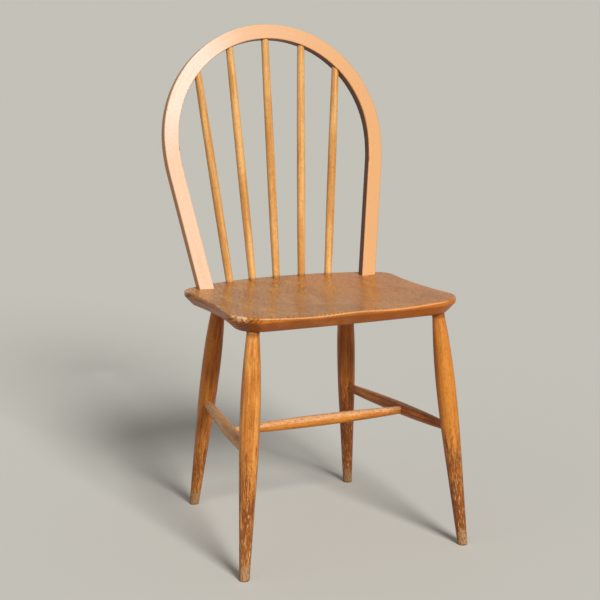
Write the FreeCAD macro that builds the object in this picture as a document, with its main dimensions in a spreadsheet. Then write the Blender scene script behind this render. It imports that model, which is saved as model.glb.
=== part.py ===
import FreeCAD, Part
import math
import os

import Sketcher
from FreeCAD import Vector

# Hoop back dining chair of the windsor kind, in millimetres and degrees.
# +Z is up, the front of the chair faces -Y and the origin lies on the floor
# under the middle of the chair.  Left and right are as seen from the front.

SIZES = [
    ("seat_height", 435, "top of the seat blank above the floor, over the origin"),
    ("seat_tilt", 1.5, "fall of the seat towards the back"),
    ("seat_thickness", 28.5, "finished thickness of the seat at its rim"),
    ("seat_front_reach", 205, "origin to the front edge of the seat"),
    ("seat_rear_reach", 163.5, "origin to the middle of the rear edge of the seat"),
    ("seat_front_half_width", 208.5, "half the seat's width across its front corners"),
    ("seat_front_edge_radius", 3200, "gentle bow of the front edge"),
    ("seat_front_corner_radius", 57, "rounding of the front corners in plan"),
    ("seat_side_radius", 785, "hollow waist of each side in plan"),
    ("seat_rear_corner_radius", 37, "rounding of the rear corners in plan"),
    ("seat_rear_edge_radius", 330, "bow of the rear edge"),
    ("seat_bevel_width", 17.5, "undercut of the seat, measured inwards"),
    ("seat_bevel_rise", 19, "undercut of the seat, measured upwards"),
    ("seat_bevel_round", 4, "rounding between the seat's side and its undercut"),
    ("seat_base_round", 16, "rounding between the undercut and the seat's underside"),
    ("seat_arris_radius", 3.5, "rounding of the seat's top arris"),
    ("seat_left_seam", 108, "centre line to the glued seam on the left"),
    ("seat_right_seam", 24, "centre line to the glued seam on the right"),
    ("dish_depth", 11, "deepest hollow of the saddled seat"),
    ("dish_half_width", 206, "half width of the hollow"),
    ("dish_centre_forward", 40, "origin to the deepest place, towards the front"),
    ("dish_front_run", 480, "length over which the hollow would run out in front"),
    ("dish_rear_run", 301, "length over which the hollow would run out behind"),
    ("pommel_height", 6.1, "height of the ridge between the thighs at the front edge"),
    ("pommel_half_width", 65, "half width of that ridge"),
    ("pommel_run", 165, "length over which the ridge dies away backwards"),
    ("leg_front_side_inset", 37.5, "seat's front corner width to the front leg, sideways"),
    ("leg_front_edge_inset", 38.4, "front edge of the seat to the front leg"),
    ("leg_rear_side_inset", 78.3, "seat's rear corner width to the rear leg, sideways"),
    ("leg_rear_edge_inset", 49.2, "rear edge of the seat to the rear leg"),
    ("leg_side_splay", 34.6, "how far a leg spreads sideways on its way down"),
    ("leg_front_splay", 41.7, "how far a front leg spreads forwards"),
    ("leg_rear_splay", 58.2, "how far a rear leg spreads backwards"),
    ("leg_foot_radius", 8.6, "leg at the floor"),
    ("leg_taper_height", 180, "top of the leg's straight taper above the floor"),
    ("leg_taper_radius", 15.3, "leg at the top of its straight taper"),
    ("leg_belly_height", 275, "widest place of the leg above the floor"),
    ("leg_belly_swell", 1.7, "how much wider the belly is than the top of the taper, in radius"),
    ("leg_tenon_radius", 10.9, "leg where it enters the seat"),
    ("leg_tenon_depth", 21, "leg inside the seat, which it doesn't pierce"),
    ("leg_neck_length", 8, "straight part of the leg just below the seat"),
    ("foot_allowance", 12, "leg left long for levelling, then sawn off at the floor"),
    ("side_stretcher_front_height", 209, "side stretcher at the front leg"),
    ("side_stretcher_rear_height", 204, "side stretcher at the rear leg"),
    ("side_stretcher_end_radius", 7.6, "side stretcher at its tenons"),
    ("side_stretcher_belly_radius", 11, "side stretcher at its widest"),
    ("side_stretcher_belly_share", 0.52, "its widest place, from rear to front"),
    ("side_stretcher_tenon_run", 21, "straight end of a side stretcher"),
    ("cross_stretcher_share", 0.58, "place of the cross stretcher, from rear to front"),
    ("cross_stretcher_end_radius", 7, "cross stretcher at its tenons"),
    ("cross_stretcher_belly_radius", 10.3, "cross stretcher at its widest"),
    ("cross_stretcher_tenon_run", 14, "straight end of the cross stretcher"),
    ("hoop_setback", 37.4, "rear edge of the seat, behind a limb, to the hoop's front face"),
    ("hoop_side_margin", 30, "side of the seat to the hoop's outer side"),
    ("hoop_lean", 14, "lean of the hoop from the vertical"),
    ("hoop_rise", 469, "seat to the hoop's crown, along the lean"),
    ("hoop_half_width", 212.4, "half the hoop's width, and the radius of its crown"),
    ("hoop_shoulder_radius", 326, "bend between the hoop's crown and its limbs"),
    ("hoop_limb_angle", 9.6, "how far each straight limb draws in on its way down"),
    ("hoop_width", 26.8, "face of the hoop's section"),
    ("hoop_thickness", 19.5, "thickness of the hoop's section, front to back"),
    ("hoop_arris_radius", 2, "rounding of the hoop's long edges"),
    ("hoop_housing_depth", 8, "shallow mortise that takes the hoop's full section"),
    ("hoop_tenon_radius", 8.5, "round tenon that goes through the seat"),
    ("stick_setback", 14, "rear edge of the seat to the sticks"),
    ("stick_seat_spacing", 49.2, "sideways spacing of the sticks at the seat"),
    ("stick_inner_top_offset", 70.3, "centre line to an inner stick at the hoop"),
    ("stick_outer_top_offset", 135.5, "centre line to an outer stick at the hoop"),
    ("stick_seat_radius", 7, "stick at the seat"),
    ("stick_belly_swell", 0.8, "how much wider the belly is than the seat end, in radius"),
    ("stick_top_radius", 6.7, "stick at the hoop"),
    ("stick_belly_share", 0.42, "height of the widest place, as a share of the stick"),
    ("stick_neck_length", 8, "straight part of the stick outside each socket"),
    ("stick_seat_depth", 12, "stick inside the seat"),
    ("stick_hoop_depth", 15, "stick inside the hoop"),
    ("wedge_length", 18, "wedges that spread the tenons"),
    ("wedge_thick_end", 3.2, "thick end of a wedge"),
    ("wedge_thin_end", 0.8, "thin end of a wedge"),
    ("wedge_side_gap", 0.5, "wedge short of the tenon's side"),
    ("glue_gap", 0.1, "glue line all round a round tenon"),
]

# Clearance that the cutting shapes run past the wood that they cut.
OVERRUN = 20
# Wood above the finished seat that the saddle takes away.
SADDLE_WASTE = 3
# Number of places, across and along, where the saddle's surface is set out.
SADDLE_COLUMNS = 25
SADDLE_ROWS = 23

doc = FreeCAD.newDocument("windsor_chair")


def write_sizes():
    """Put the driving dimensions in the sheet, one row each."""
    sheet = doc.addObject("Spreadsheet::Sheet", "Sizes")
    for row, (name, value, meaning) in enumerate(SIZES, start=1):
        sheet.set(f"A{row}", name)
        sheet.set(f"B{row}", str(value))
        sheet.set(f"C{row}", meaning)
        sheet.setAlias(f"B{row}", name)
    doc.recompute()
    return sheet


sheet = write_sizes()
places = doc.addObject("App::VarSet", "Places")


def size(name):
    """Read one driving dimension."""
    return float(sheet.get(name))


def place(name, expression, meaning):
    """Name a length or a point that follows from the driving dimensions."""
    kind = "App::PropertyVector" if expression.startswith("vector") else "App::PropertyFloat"
    places.addProperty(kind, name, "Places", meaning)
    places.setExpression(name, expression)
    doc.recompute()


def bind(feature, **expressions):
    """Tie properties of a feature to the named sizes and places."""
    for name, expression in expressions.items():
        feature.setExpression(name, expression)


def value(expression):
    """Work out an expression of named sizes and places."""
    result = places.evalExpression(expression)
    return float(getattr(result, "Value", result))


# Places that several pieces share

def name_shared_places():
    """Set out the seat, the hoop and the leg tops."""
    place("hoop_centre", "Sizes.hoop_rise - Sizes.hoop_half_width",
          "seat to the centre of the hoop's crown, along the lean")
    place("hoop_foot_half_width",
          "Sizes.hoop_half_width - Sizes.hoop_shoulder_radius"
          " + Sizes.hoop_shoulder_radius / cos(Sizes.hoop_limb_angle)"
          " - Places.hoop_centre * tan(Sizes.hoop_limb_angle)",
          "half the hoop's outer width where it meets the seat")
    place("limb_axis_offset",
          "Places.hoop_foot_half_width - Sizes.hoop_width / 2 / cos(Sizes.hoop_limb_angle)",
          "centre line of the chair to a limb's own centre line at the seat")
    place("hoop_foot_drop", "Sizes.hoop_housing_depth", "seat to the hoop's foot, along the limb")
    place("seat_rear_centre", "Sizes.seat_rear_reach - Sizes.seat_rear_edge_radius",
          "centre of the rear edge's bow")
    place("hoop_front",
          "Places.seat_rear_centre + sqrt(Sizes.seat_rear_edge_radius^2 - Places.limb_axis_offset^2)"
          " - Sizes.hoop_setback",
          "hoop's front face where it meets the seat")
    place("limb_run", "Sizes.seat_thickness / cos(Sizes.hoop_lean) / cos(Sizes.hoop_limb_angle)",
          "length of a limb's tenon in the seat's thickness")
    place("seat_rear_half_width", "Places.hoop_foot_half_width + Sizes.hoop_side_margin",
          "half the seat's width across its rear corners")
    place("leg_belly_radius", "Sizes.leg_taper_radius + Sizes.leg_belly_swell", "leg at its widest")
    place("stick_belly_radius", "Sizes.stick_seat_radius + Sizes.stick_belly_swell",
          "stick at its widest")
    place("stock_reach",
          "max(max(Sizes.seat_front_half_width; Places.seat_rear_half_width);"
          f" max(Sizes.seat_front_reach; Sizes.seat_rear_reach)) + {OVERRUN}",
          "half the width and depth of the stock that the seat is sawn from")
    place("leg_rise", "Sizes.seat_height - Sizes.seat_thickness", "floor to the seat's underside")
    place("front_leg_x", "Sizes.seat_front_half_width - Sizes.leg_front_side_inset", "front leg top")
    place("front_leg_y", "Sizes.leg_front_edge_inset - Sizes.seat_front_reach", "front leg top")
    place("rear_leg_x", "Places.seat_rear_half_width - Sizes.leg_rear_side_inset", "rear leg top")
    place("rear_leg_y", "Sizes.seat_rear_reach - Sizes.leg_rear_edge_inset", "rear leg top")


def name_line(name, start, finish):
    """Name the centre line of a straight piece by its two ends, each three expressions."""
    place(f"{name}_start", "vector({}; {}; {})".format(*start), "where the centre line starts")
    place(f"{name}_end", "vector({}; {}; {})".format(*finish), "where the centre line ends")
    runs = [f"Places.{name}_end.{axis} - Places.{name}_start.{axis}" for axis in "xyz"]
    place(f"{name}_run", "vector({}; {}; {})".format(*runs), "start to end")


def line_length(name):
    """Length of a named centre line, as an expression."""
    return f"Places.{name}_run.Length"


def line_placement(name, offset="0"):
    """Placement whose +Z runs along a named line, offset mm from its start."""
    run = f"Places.{name}_run"
    return (f"placement(Places.{name}_start + {run} * (({offset}) / {run}.Length);"
            f" rotation(vector(0 - {run}.y; {run}.x; 0); atan2(hypot({run}.x; {run}.y); {run}.z)))")


SEAT_PLACEMENT = ("placement(vector(0; 0; Sizes.seat_height);"
                  " rotation(vector(1; 0; 0); 0 - Sizes.seat_tilt))")
HOOP_PLACEMENT = ("placement(vector(0; Places.hoop_front; Sizes.seat_height);"
                  " rotation(vector(1; 0; 0); 90 - Sizes.hoop_lean))")
SIDES = {"left": -1, "right": 1}


def limb_placement(side, depth):
    """Placement on a limb's centre line, depth mm below the seat's top, +Z down the limb."""
    turn = -SIDES[side]
    across = f"{SIDES[side]} * (Places.limb_axis_offset - ({depth}) * sin(Sizes.hoop_limb_angle))"
    down = f"0 - ({depth}) * cos(Sizes.hoop_limb_angle)"
    return (f"{HOOP_PLACEMENT} * placement(vector({across}; {down}; 0 - Sizes.hoop_thickness / 2);"
            f" rotation({turn} * Sizes.hoop_limb_angle; 0; 90))")


# Sketches and solids

def origin_plane(body, role):
    """Find one of a body's own base planes."""
    return [plane for plane in body.Origin.OriginFeatures if plane.Role == role][0]


def new_body(name, placement=None):
    """Start a body and tie its place."""
    body = doc.addObject("PartDesign::Body", name)
    if placement:
        bind(body, Placement=placement)
    return body


def new_sketch(body, name, role):
    """Start a sketch on one of the body's base planes."""
    sketch = body.newObject("Sketcher::SketchObject", name)
    sketch.AttachmentSupport = (origin_plane(body, role), [""])
    sketch.MapMode = "FlatFace"
    return sketch


def fix(sketch, kind, *refs, name=None, to=None):
    """Add a constraint, and tie it to an expression if it is a dimension."""
    if to is None:
        return sketch.addConstraint(Sketcher.Constraint(kind, *refs))
    number = value(to)
    if kind == "Angle":
        number = math.radians(number)
    index = sketch.addConstraint(Sketcher.Constraint(kind, *refs, number))
    sketch.renameConstraint(index, name)
    sketch.setExpression(f"Constraints.{name}", to)
    return index


ORIGIN = (-1, 1)


def put_on_centre_line(sketch, *point):
    """Hold a point on the sketch's vertical axis."""
    fix(sketch, "PointOnObject", *point, -2)


def arc(centre, radius, start, finish):
    """Arc in the sketch plane, counter-clockwise between two angles in degrees."""
    circle = Part.Circle(Vector(centre[0], centre[1], 0), Vector(0, 0, 1), radius)
    return Part.ArcOfCircle(circle, math.radians(start), math.radians(finish))


def line(start, finish):
    """Straight line in the sketch plane."""
    return Part.LineSegment(Vector(start[0], start[1], 0), Vector(finish[0], finish[1], 0))


def belly_arc(belly, end):
    """Arc from a turning's widest place to one end, with its centre level with the belly."""
    drop = belly[0] - end[0]
    run = end[1] - belly[1]
    radius = (drop ** 2 + run ** 2) / (2 * drop)
    angle = math.degrees(math.asin(run / radius))
    return arc((belly[0] - radius, belly[1]), radius, min(angle, 0), max(angle, 0))


def turned(name, placement, start, shoulder, belly, neck, length, plane="XZ_Plane"):
    """Turned piece about its own Z axis, built in a body of its own.

    start is a radius; shoulder, belly and neck are (radius, height).  The shoulder ends
    the straight or tapered lower part, and the neck runs straight to the end.
    """
    body = new_body(name, placement)
    sketch = new_sketch(body, f"{name}_profile", plane)
    foot = (value(start), 0)
    knee, widest, throat = [(value(radius), value(height))
                            for radius, height in (shoulder, belly, neck)]
    top = (throat[0], value(length))
    sketch.addGeometry([line((0, 0), foot), line(foot, knee), belly_arc(widest, knee),
                        belly_arc(widest, throat), line(throat, top), line(top, (0, top[1])),
                        line((0, top[1]), (0, 0))])
    joints = [(0, 2, 1, 1), (1, 2, 2, 1), (2, 2, 3, 1), (3, 2, 4, 1), (4, 2, 5, 1), (5, 2, 6, 1),
              (6, 2, 0, 1), (0, 1, *ORIGIN)]
    for joint in joints:
        fix(sketch, "Coincident", *joint)
    fix(sketch, "Horizontal", 0)
    fix(sketch, "Vertical", 4)
    fix(sketch, "Horizontal", 5)
    fix(sketch, "Vertical", 6)
    fix(sketch, "Horizontal", 2, 3, 2, 2)
    fix(sketch, "Horizontal", 3, 3, 2, 2)
    fix(sketch, "DistanceX", *ORIGIN, 0, 2, name="start_radius", to=start)
    corners = [("shoulder", 1, shoulder), ("belly", 2, belly), ("neck", 3, neck)]
    for corner, index, (radius, height) in corners:
        fix(sketch, "DistanceX", *ORIGIN, index, 2, name=f"{corner}_radius", to=radius)
        fix(sketch, "DistanceY", *ORIGIN, index, 2, name=f"{corner}_height", to=height)
    fix(sketch, "DistanceY", *ORIGIN, 4, 2, name="length", to=length)
    turning = body.newObject("PartDesign::Revolution", f"{name}_turning")
    turning.Profile = sketch
    turning.ReferenceAxis = (sketch, ["V_Axis"])
    turning.Angle = 360
    return body


def socket(name, placement, radius, depth):
    """Round hole for a tenon, as the shape that is bored away."""
    bore = doc.addObject("Part::Cylinder", name)
    bind(bore, Radius=f"{radius} + Sizes.glue_gap", Height=depth, Placement=placement)
    return bore


def joined(name, shapes):
    """Gather cutting shapes into one."""
    group = doc.addObject("Part::MultiFuse", name)
    group.Shapes = shapes
    return group


def cut(name, base, tool):
    """Take one shape away from another."""
    result = doc.addObject("Part::Cut", name)
    result.Base = base
    result.Tool = tool
    return result


def common(name, base, tool):
    """Keep what two shapes share."""
    result = doc.addObject("Part::Common", name)
    result.Base = base
    result.Tool = tool
    return result


def wedge(name, placement, width, extra=0):
    """Tapered wedge whose thin end lies at its origin and whose thick end points along +Z."""
    body = new_body(name, placement)
    sketch = new_sketch(body, f"{name}_profile", "YZ_Plane")
    length = f"Sizes.wedge_length + {extra}"
    widen = f"(Sizes.wedge_thick_end - Sizes.wedge_thin_end) * {extra} / Sizes.wedge_length"
    thin = "Sizes.wedge_thin_end / 2"
    thick = f"(Sizes.wedge_thick_end + {widen}) / 2"
    half_thin = value(thin)
    half_thick = value(thick)
    top = value(length)
    corners = [(-half_thin, 0), (half_thin, 0), (half_thick, top), (-half_thick, top)]
    sketch.addGeometry([line(corners[i], corners[(i + 1) % 4]) for i in range(4)])
    for i in range(4):
        fix(sketch, "Coincident", i, 2, (i + 1) % 4, 1)
    fix(sketch, "Horizontal", 2)
    fix(sketch, "Symmetric", 0, 1, 0, 2, *ORIGIN)
    fix(sketch, "Horizontal", 0)
    fix(sketch, "DistanceX", *ORIGIN, 0, 2, name="thin_half", to=thin)
    fix(sketch, "DistanceX", *ORIGIN, 1, 2, name="thick_half", to=thick)
    fix(sketch, "DistanceX", 2, 2, *ORIGIN, name="thick_other_half", to=thick)
    fix(sketch, "DistanceY", *ORIGIN, 1, 2, name="length", to=length)
    pad = body.newObject("PartDesign::Pad", f"{name}_pad")
    pad.Profile = sketch
    pad.Midplane = True
    bind(pad, Length=width)
    return body


def edges_of(feature, test):
    """Names of the feature's edges whose points all pass a test."""
    names = []
    for index, edge in enumerate(feature.Shape.Edges, start=1):
        samples = edge.discretize(5)
        if all(test(point) for point in samples):
            names.append(f"Edge{index}")
    return names


def level(height):
    """Test for points at one height of a body's own frame."""
    return lambda point: abs(point.z - height) < 0.01


# Seat: boards glued edge to edge, then sawn to shape, saddled and bevelled

def seat_outline(sketch):
    """Right half of the seat's plan: five arcs that run into each other, closed down the middle."""
    front = Vector(0, size("seat_front_edge_radius") - size("seat_front_reach"), 0)
    rear = Vector(0, size("seat_rear_reach") - size("seat_rear_edge_radius"), 0)
    front_radius = size("seat_front_edge_radius")
    rear_radius = size("seat_rear_edge_radius")
    corner_radius = size("seat_front_corner_radius")
    lobe_radius = size("seat_rear_corner_radius")
    side_radius = size("seat_side_radius")
    corner_x = size("seat_front_half_width") - corner_radius
    lobe_x = value("Places.seat_rear_half_width") - lobe_radius
    corner = Vector(corner_x, front.y - math.sqrt((front_radius - corner_radius) ** 2
                                                  - corner_x ** 2), 0)
    lobe = Vector(lobe_x, rear.y + math.sqrt((rear_radius - lobe_radius) ** 2 - lobe_x ** 2), 0)
    apart = lobe - corner
    to_corner = side_radius + corner_radius
    to_lobe = side_radius + lobe_radius
    along = (to_corner ** 2 - to_lobe ** 2 + apart.Length ** 2) / (2 * apart.Length)
    across = math.sqrt(to_corner ** 2 - along ** 2)
    direction = Vector(apart).normalize()
    outwards = Vector(direction.y, -direction.x, 0)
    side = corner + direction * along + outwards * across

    def bearing(centre, target):
        angle = math.degrees(math.atan2(target.y - centre.y, target.x - centre.x))
        return angle % 360

    front_turn = bearing(front, corner)
    rear_turn = bearing(rear, lobe)
    sketch.addGeometry([
        arc(front, front_radius, 270, front_turn),
        arc(corner, corner_radius, front_turn - 360, bearing(corner, side)),
        arc(side, side_radius, bearing(side, lobe), bearing(side, corner)),
        arc(lobe, lobe_radius, bearing(lobe, side) - 360, rear_turn),
        arc(rear, rear_radius, rear_turn, 90),
        line((0, size("seat_rear_reach")), (0, -size("seat_front_reach"))),
    ])
    for joint in [(0, 2, 1, 1), (1, 2, 2, 2), (2, 1, 3, 1), (3, 2, 4, 1)]:
        fix(sketch, "Tangent", *joint)
    fix(sketch, "Coincident", 4, 2, 5, 1)
    fix(sketch, "Coincident", 5, 2, 0, 1)
    for point in [(0, 1), (0, 3), (4, 2), (4, 3)]:
        put_on_centre_line(sketch, *point)
    radii = ["front_edge", "front_corner", "side", "rear_corner", "rear_edge"]
    for index, part_name in enumerate(radii):
        fix(sketch, "Radius", index, name=part_name, to=f"Sizes.seat_{part_name}_radius")
    fix(sketch, "DistanceY", 0, 1, *ORIGIN, name="front_reach", to="Sizes.seat_front_reach")
    fix(sketch, "DistanceY", *ORIGIN, 4, 2, name="rear_reach", to="Sizes.seat_rear_reach")
    fix(sketch, "DistanceX", *ORIGIN, 1, 3, name="front_corner_centre",
        to="Sizes.seat_front_half_width - Sizes.seat_front_corner_radius")
    fix(sketch, "DistanceX", *ORIGIN, 3, 3, name="rear_corner_centre",
        to="Places.seat_rear_half_width - Sizes.seat_rear_corner_radius")


def seat_blank():
    """Sawn and bevelled blank, with its top still left thick for saddling."""
    body = new_body("seat_blank", SEAT_PLACEMENT)
    sketch = new_sketch(body, "seat_plan", "XY_Plane")
    bind(sketch, **{"AttachmentOffset.Base.z": "0 - Sizes.seat_thickness"})
    seat_outline(sketch)
    pad = body.newObject("PartDesign::Pad", "seat_right_half")
    pad.Profile = sketch
    bind(pad, Length=f"Sizes.seat_thickness + {SADDLE_WASTE}")
    doc.recompute()
    mirrored = body.newObject("PartDesign::Mirrored", "seat_both_halves")
    mirrored.Originals = [pad]
    mirrored.MirrorPlane = (sketch, ["V_Axis"])
    body.Tip = mirrored
    doc.recompute()
    bottom = level(-size("seat_thickness"))
    bevel = body.newObject("PartDesign::Chamfer", "seat_bevel")
    bevel.Base = (mirrored, edges_of(mirrored, bottom))
    bevel.ChamferType = "Two distances"
    bind(bevel, Size="Sizes.seat_bevel_rise", Size2="Sizes.seat_bevel_width")
    doc.recompute()
    shoulder = level(size("seat_bevel_rise") - size("seat_thickness"))
    rounding = body.newObject("PartDesign::Fillet", "seat_bevel_rounding")
    rounding.Base = (bevel, edges_of(bevel, shoulder))
    bind(rounding, Radius="Sizes.seat_bevel_round")
    doc.recompute()
    base_rounding = body.newObject("PartDesign::Fillet", "seat_base_rounding")
    base_rounding.Base = (rounding, edges_of(rounding, bottom))
    bind(base_rounding, Radius="Sizes.seat_base_round")
    doc.recompute()
    return body


def dish_depth(x, y):
    """Depth of the saddled seat below its blank: a broad hollow less a ridge at the front."""
    quarter_turn = math.pi / 2
    across = min(abs(x) / size("dish_half_width"), 1)
    behind = y + size("dish_centre_forward")
    run = size("dish_rear_run") if behind > 0 else size("dish_front_run")
    along = min(abs(behind) / run, 1)
    hollow = (math.cos(quarter_turn * across) * math.cos(quarter_turn * along)) ** 2
    from_front = max(y + size("seat_front_reach"), 0)
    fading = math.cos(quarter_turn * min(from_front / size("pommel_run"), 1)) ** 2
    ridge = math.exp(-(x / size("pommel_half_width")) ** 2) * fading
    return size("dish_depth") * hollow - size("pommel_height") * ridge


def saddle():
    """Everything above the saddled surface, as the shape that is carved away."""
    reach = value("Places.stock_reach")
    across = [reach * (2 * step / (SADDLE_COLUMNS - 1) - 1) for step in range(SADDLE_COLUMNS)]
    along = [reach * (2 * step / (SADDLE_ROWS - 1) - 1) for step in range(SADDLE_ROWS)]
    rows = [[Vector(x, y, -dish_depth(x, y)) for y in along] for x in across]
    surface = Part.BSplineSurface()
    surface.interpolate(rows)
    carving = doc.addObject("Part::Feature", "saddle_carving")
    carving.Shape = surface.toShape().extrude(Vector(0, 0, OVERRUN))
    bind(carving, Placement=SEAT_PLACEMENT)
    return carving


SEAT_SEAMS = {
    "seat_board_left": ("0 - Places.stock_reach", "0 - Sizes.seat_left_seam"),
    "seat_board_centre": ("0 - Sizes.seat_left_seam", "Sizes.seat_right_seam"),
    "seat_board_right": ("Sizes.seat_right_seam", "Places.stock_reach"),
}


def seat_body():
    """Saddle the blank and round its top arris."""
    saddled = cut("seat_saddled", seat_blank(), saddle())
    doc.recompute()
    body = doc.addObject("PartDesign::Body", "seat_shaped")
    body.BaseFeature = saddled
    doc.recompute()
    base = body.Tip
    curved = [face for face in base.Shape.Faces if isinstance(face.Surface, Part.BSplineSurface)]
    top = max(curved, key=lambda face: face.Area)
    rim = [f"Edge{number}" for number, edge in enumerate(base.Shape.Edges, start=1)
           if any(edge.isSame(other) for other in top.Edges)]
    arris = body.newObject("PartDesign::Fillet", "seat_arris")
    arris.Base = (base, rim)
    bind(arris, Radius="Sizes.seat_arris_radius")
    doc.recompute()
    return body


def seat_boards(shaped, sockets):
    """Bore the shaped seat and part it at the glued seams."""
    bored = cut("seat_bored", shaped, joined("seat_sockets", sockets))
    boards = []
    for name, (left, right) in SEAT_SEAMS.items():
        stock = doc.addObject("Part::Box", f"{name}_stock")
        corner = (f"vector({left}; 0 - Places.stock_reach;"
                  " Sizes.seat_height - 2 * Sizes.seat_thickness)")
        bind(stock, Length=f"({right}) - ({left})", Width="2 * Places.stock_reach",
             Height="4 * Sizes.seat_thickness",
             Placement=f"placement({corner}; rotation(vector(0; 0; 1); 0))")
        boards.append(common(name, bored, stock))
    return boards


# Legs: turned, splayed, glued blind into the seat

LEGS = {
    "front_left_leg": ("left", "front"),
    "front_right_leg": ("right", "front"),
    "rear_left_leg": ("left", "rear"),
    "rear_right_leg": ("right", "rear"),
}
LEG_SPREADS = {"front": "0 - Sizes.leg_front_splay", "rear": "Sizes.leg_rear_splay"}


def name_leg_line(name, side, end):
    """Centre line of a leg, from the floor up to the level of the seat's underside."""
    across = f"{SIDES[side]} * (Places.{end}_leg_x"
    foot = (f"{across} + Sizes.leg_side_splay)", f"Places.{end}_leg_y + {LEG_SPREADS[end]}", "0")
    name_line(name, foot, (f"{across})", f"Places.{end}_leg_y", "Places.leg_rise"))


def leg_slope(name):
    """Length along a leg for each millimetre of height."""
    return f"{line_length(name)} / Places.leg_rise"


def leg_entry(name, end):
    """Distance along a leg from the floor to the seat's underside."""
    underside = f"(Places.leg_rise - Places.{end}_leg_y * tan(Sizes.seat_tilt))"
    return f"{underside} * {leg_slope(name)}"


def leg(name, side, end):
    """Turned leg, sawn off level at the floor and bored for its side stretcher."""
    waste = f"Sizes.foot_allowance * {leg_slope(name)}"
    taper = "(Sizes.leg_taper_radius - Sizes.leg_foot_radius) / Sizes.leg_taper_height"
    entry = f"{leg_entry(name, end)} + {waste}"
    blank = turned(
        f"{name}_blank",
        line_placement(name, f"0 - {waste}"),
        start=f"Sizes.leg_foot_radius - Sizes.foot_allowance * {taper}",
        shoulder=("Sizes.leg_taper_radius", f"Sizes.leg_taper_height * {leg_slope(name)} + {waste}"),
        belly=("Places.leg_belly_radius", f"Sizes.leg_belly_height * {leg_slope(name)} + {waste}"),
        neck=("Sizes.leg_tenon_radius", f"{entry} - Sizes.leg_neck_length"),
        length=f"{entry} + Sizes.leg_tenon_depth",
    )
    stretcher = f"{side}_stretcher"
    near_end = "0" if end == "rear" else f"{line_length(stretcher)} - Sizes.side_stretcher_tenon_run"
    bore = socket(f"{name}_mortise", line_placement(stretcher, near_end),
                  "Sizes.side_stretcher_end_radius", "Sizes.side_stretcher_tenon_run")
    waste_block = doc.addObject("Part::Box", f"{name}_waste")
    block_size = "4 * Places.leg_belly_radius"
    foot = f"Places.{name}_start"
    bind(waste_block, Length=block_size, Width=block_size, Height=block_size,
         Placement=f"placement({foot} - vector({block_size} / 2; {block_size} / 2; {block_size});"
                   " rotation(vector(0; 0; 1); 0))")
    return cut(name, blank, joined(f"{name}_cuts", [bore, waste_block]))


def leg_socket(name, end):
    """Blind hole in the seat for a leg."""
    return socket(f"{name}_seat_socket",
                  line_placement(name, f"{leg_entry(name, end)} - Sizes.leg_neck_length"),
                  "Sizes.leg_tenon_radius", "Sizes.leg_neck_length + Sizes.leg_tenon_depth")


# Stretchers: one along each side and one across between them

def along_line(name, share):
    """Point at a share of a named centre line, as three expressions."""
    return tuple(f"Places.{name}_start.{axis} + Places.{name}_run.{axis} * ({share})"
                 for axis in "xyz")


def name_stretcher_lines():
    """Centre lines of the three stretchers, from axis to axis."""
    for side in SIDES:
        rear = along_line(f"rear_{side}_leg", "Sizes.side_stretcher_rear_height / Places.leg_rise")
        front = along_line(f"front_{side}_leg", "Sizes.side_stretcher_front_height / Places.leg_rise")
        name_line(f"{side}_stretcher", rear, front)
    name_line("cross_stretcher", along_line("left_stretcher", "Sizes.cross_stretcher_share"),
              along_line("right_stretcher", "Sizes.cross_stretcher_share"))


def stretcher(name, kind, place_name, belly_share):
    """Turned stretcher with straight ends, thickest at its belly."""
    run = line_length(place_name)
    end_radius = f"Sizes.{kind}_stretcher_end_radius"
    tenon_run = f"Sizes.{kind}_stretcher_tenon_run"
    return turned(name, line_placement(place_name), start=end_radius,
                  shoulder=(end_radius, tenon_run),
                  belly=(f"Sizes.{kind}_stretcher_belly_radius", f"{run} * {belly_share}"),
                  neck=(end_radius, f"{run} - {tenon_run}"), length=run, plane="YZ_Plane")


def side_stretcher(side):
    """Side stretcher, bored where the cross stretcher enters its belly."""
    name = f"{side}_stretcher"
    blank = stretcher(f"{name}_blank", "side", name, "Sizes.side_stretcher_belly_share")
    tenon_run = "Sizes.cross_stretcher_tenon_run"
    near_end = "0" if side == "left" else f"{line_length('cross_stretcher')} - {tenon_run}"
    bore = socket(f"{name}_mortise", line_placement("cross_stretcher", near_end),
                  "Sizes.cross_stretcher_end_radius", tenon_run)
    return cut(name, blank, bore)


# Sticks of the back, fanned out between the seat and the hoop

STICKS = {
    "back_stick_far_left": (-1, 2, "Sizes.stick_outer_top_offset"),
    "back_stick_left": (-1, 1, "Sizes.stick_inner_top_offset"),
    "back_stick_middle": (1, 0, "0"),
    "back_stick_right": (1, 1, "Sizes.stick_inner_top_offset"),
    "back_stick_far_right": (1, 2, "Sizes.stick_outer_top_offset"),
}


def name_stick_line(name, sign, spaces, top_offset):
    """Centre line of a stick, from the seat's surface to the inner curve of the hoop."""
    across = f"{sign * spaces} * Sizes.stick_seat_spacing"
    row = "(Sizes.seat_rear_edge_radius - Sizes.stick_setback)"
    back = f"Places.seat_rear_centre + sqrt({row}^2 - ({across})^2)"
    level_there = f"Sizes.seat_height - ({back}) * tan(Sizes.seat_tilt)"
    inner = "(Sizes.hoop_half_width - Sizes.hoop_width)"
    up = f"(Places.hoop_centre + sqrt({inner}^2 - ({top_offset})^2))"
    middle = "Sizes.hoop_thickness / 2"
    top = (
        f"{sign} * ({top_offset})",
        f"Places.hoop_front + {up} * sin(Sizes.hoop_lean) + {middle} * cos(Sizes.hoop_lean)",
        f"Sizes.seat_height + {up} * cos(Sizes.hoop_lean) - {middle} * sin(Sizes.hoop_lean)",
    )
    name_line(name, (across, back, level_there), top)


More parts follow.
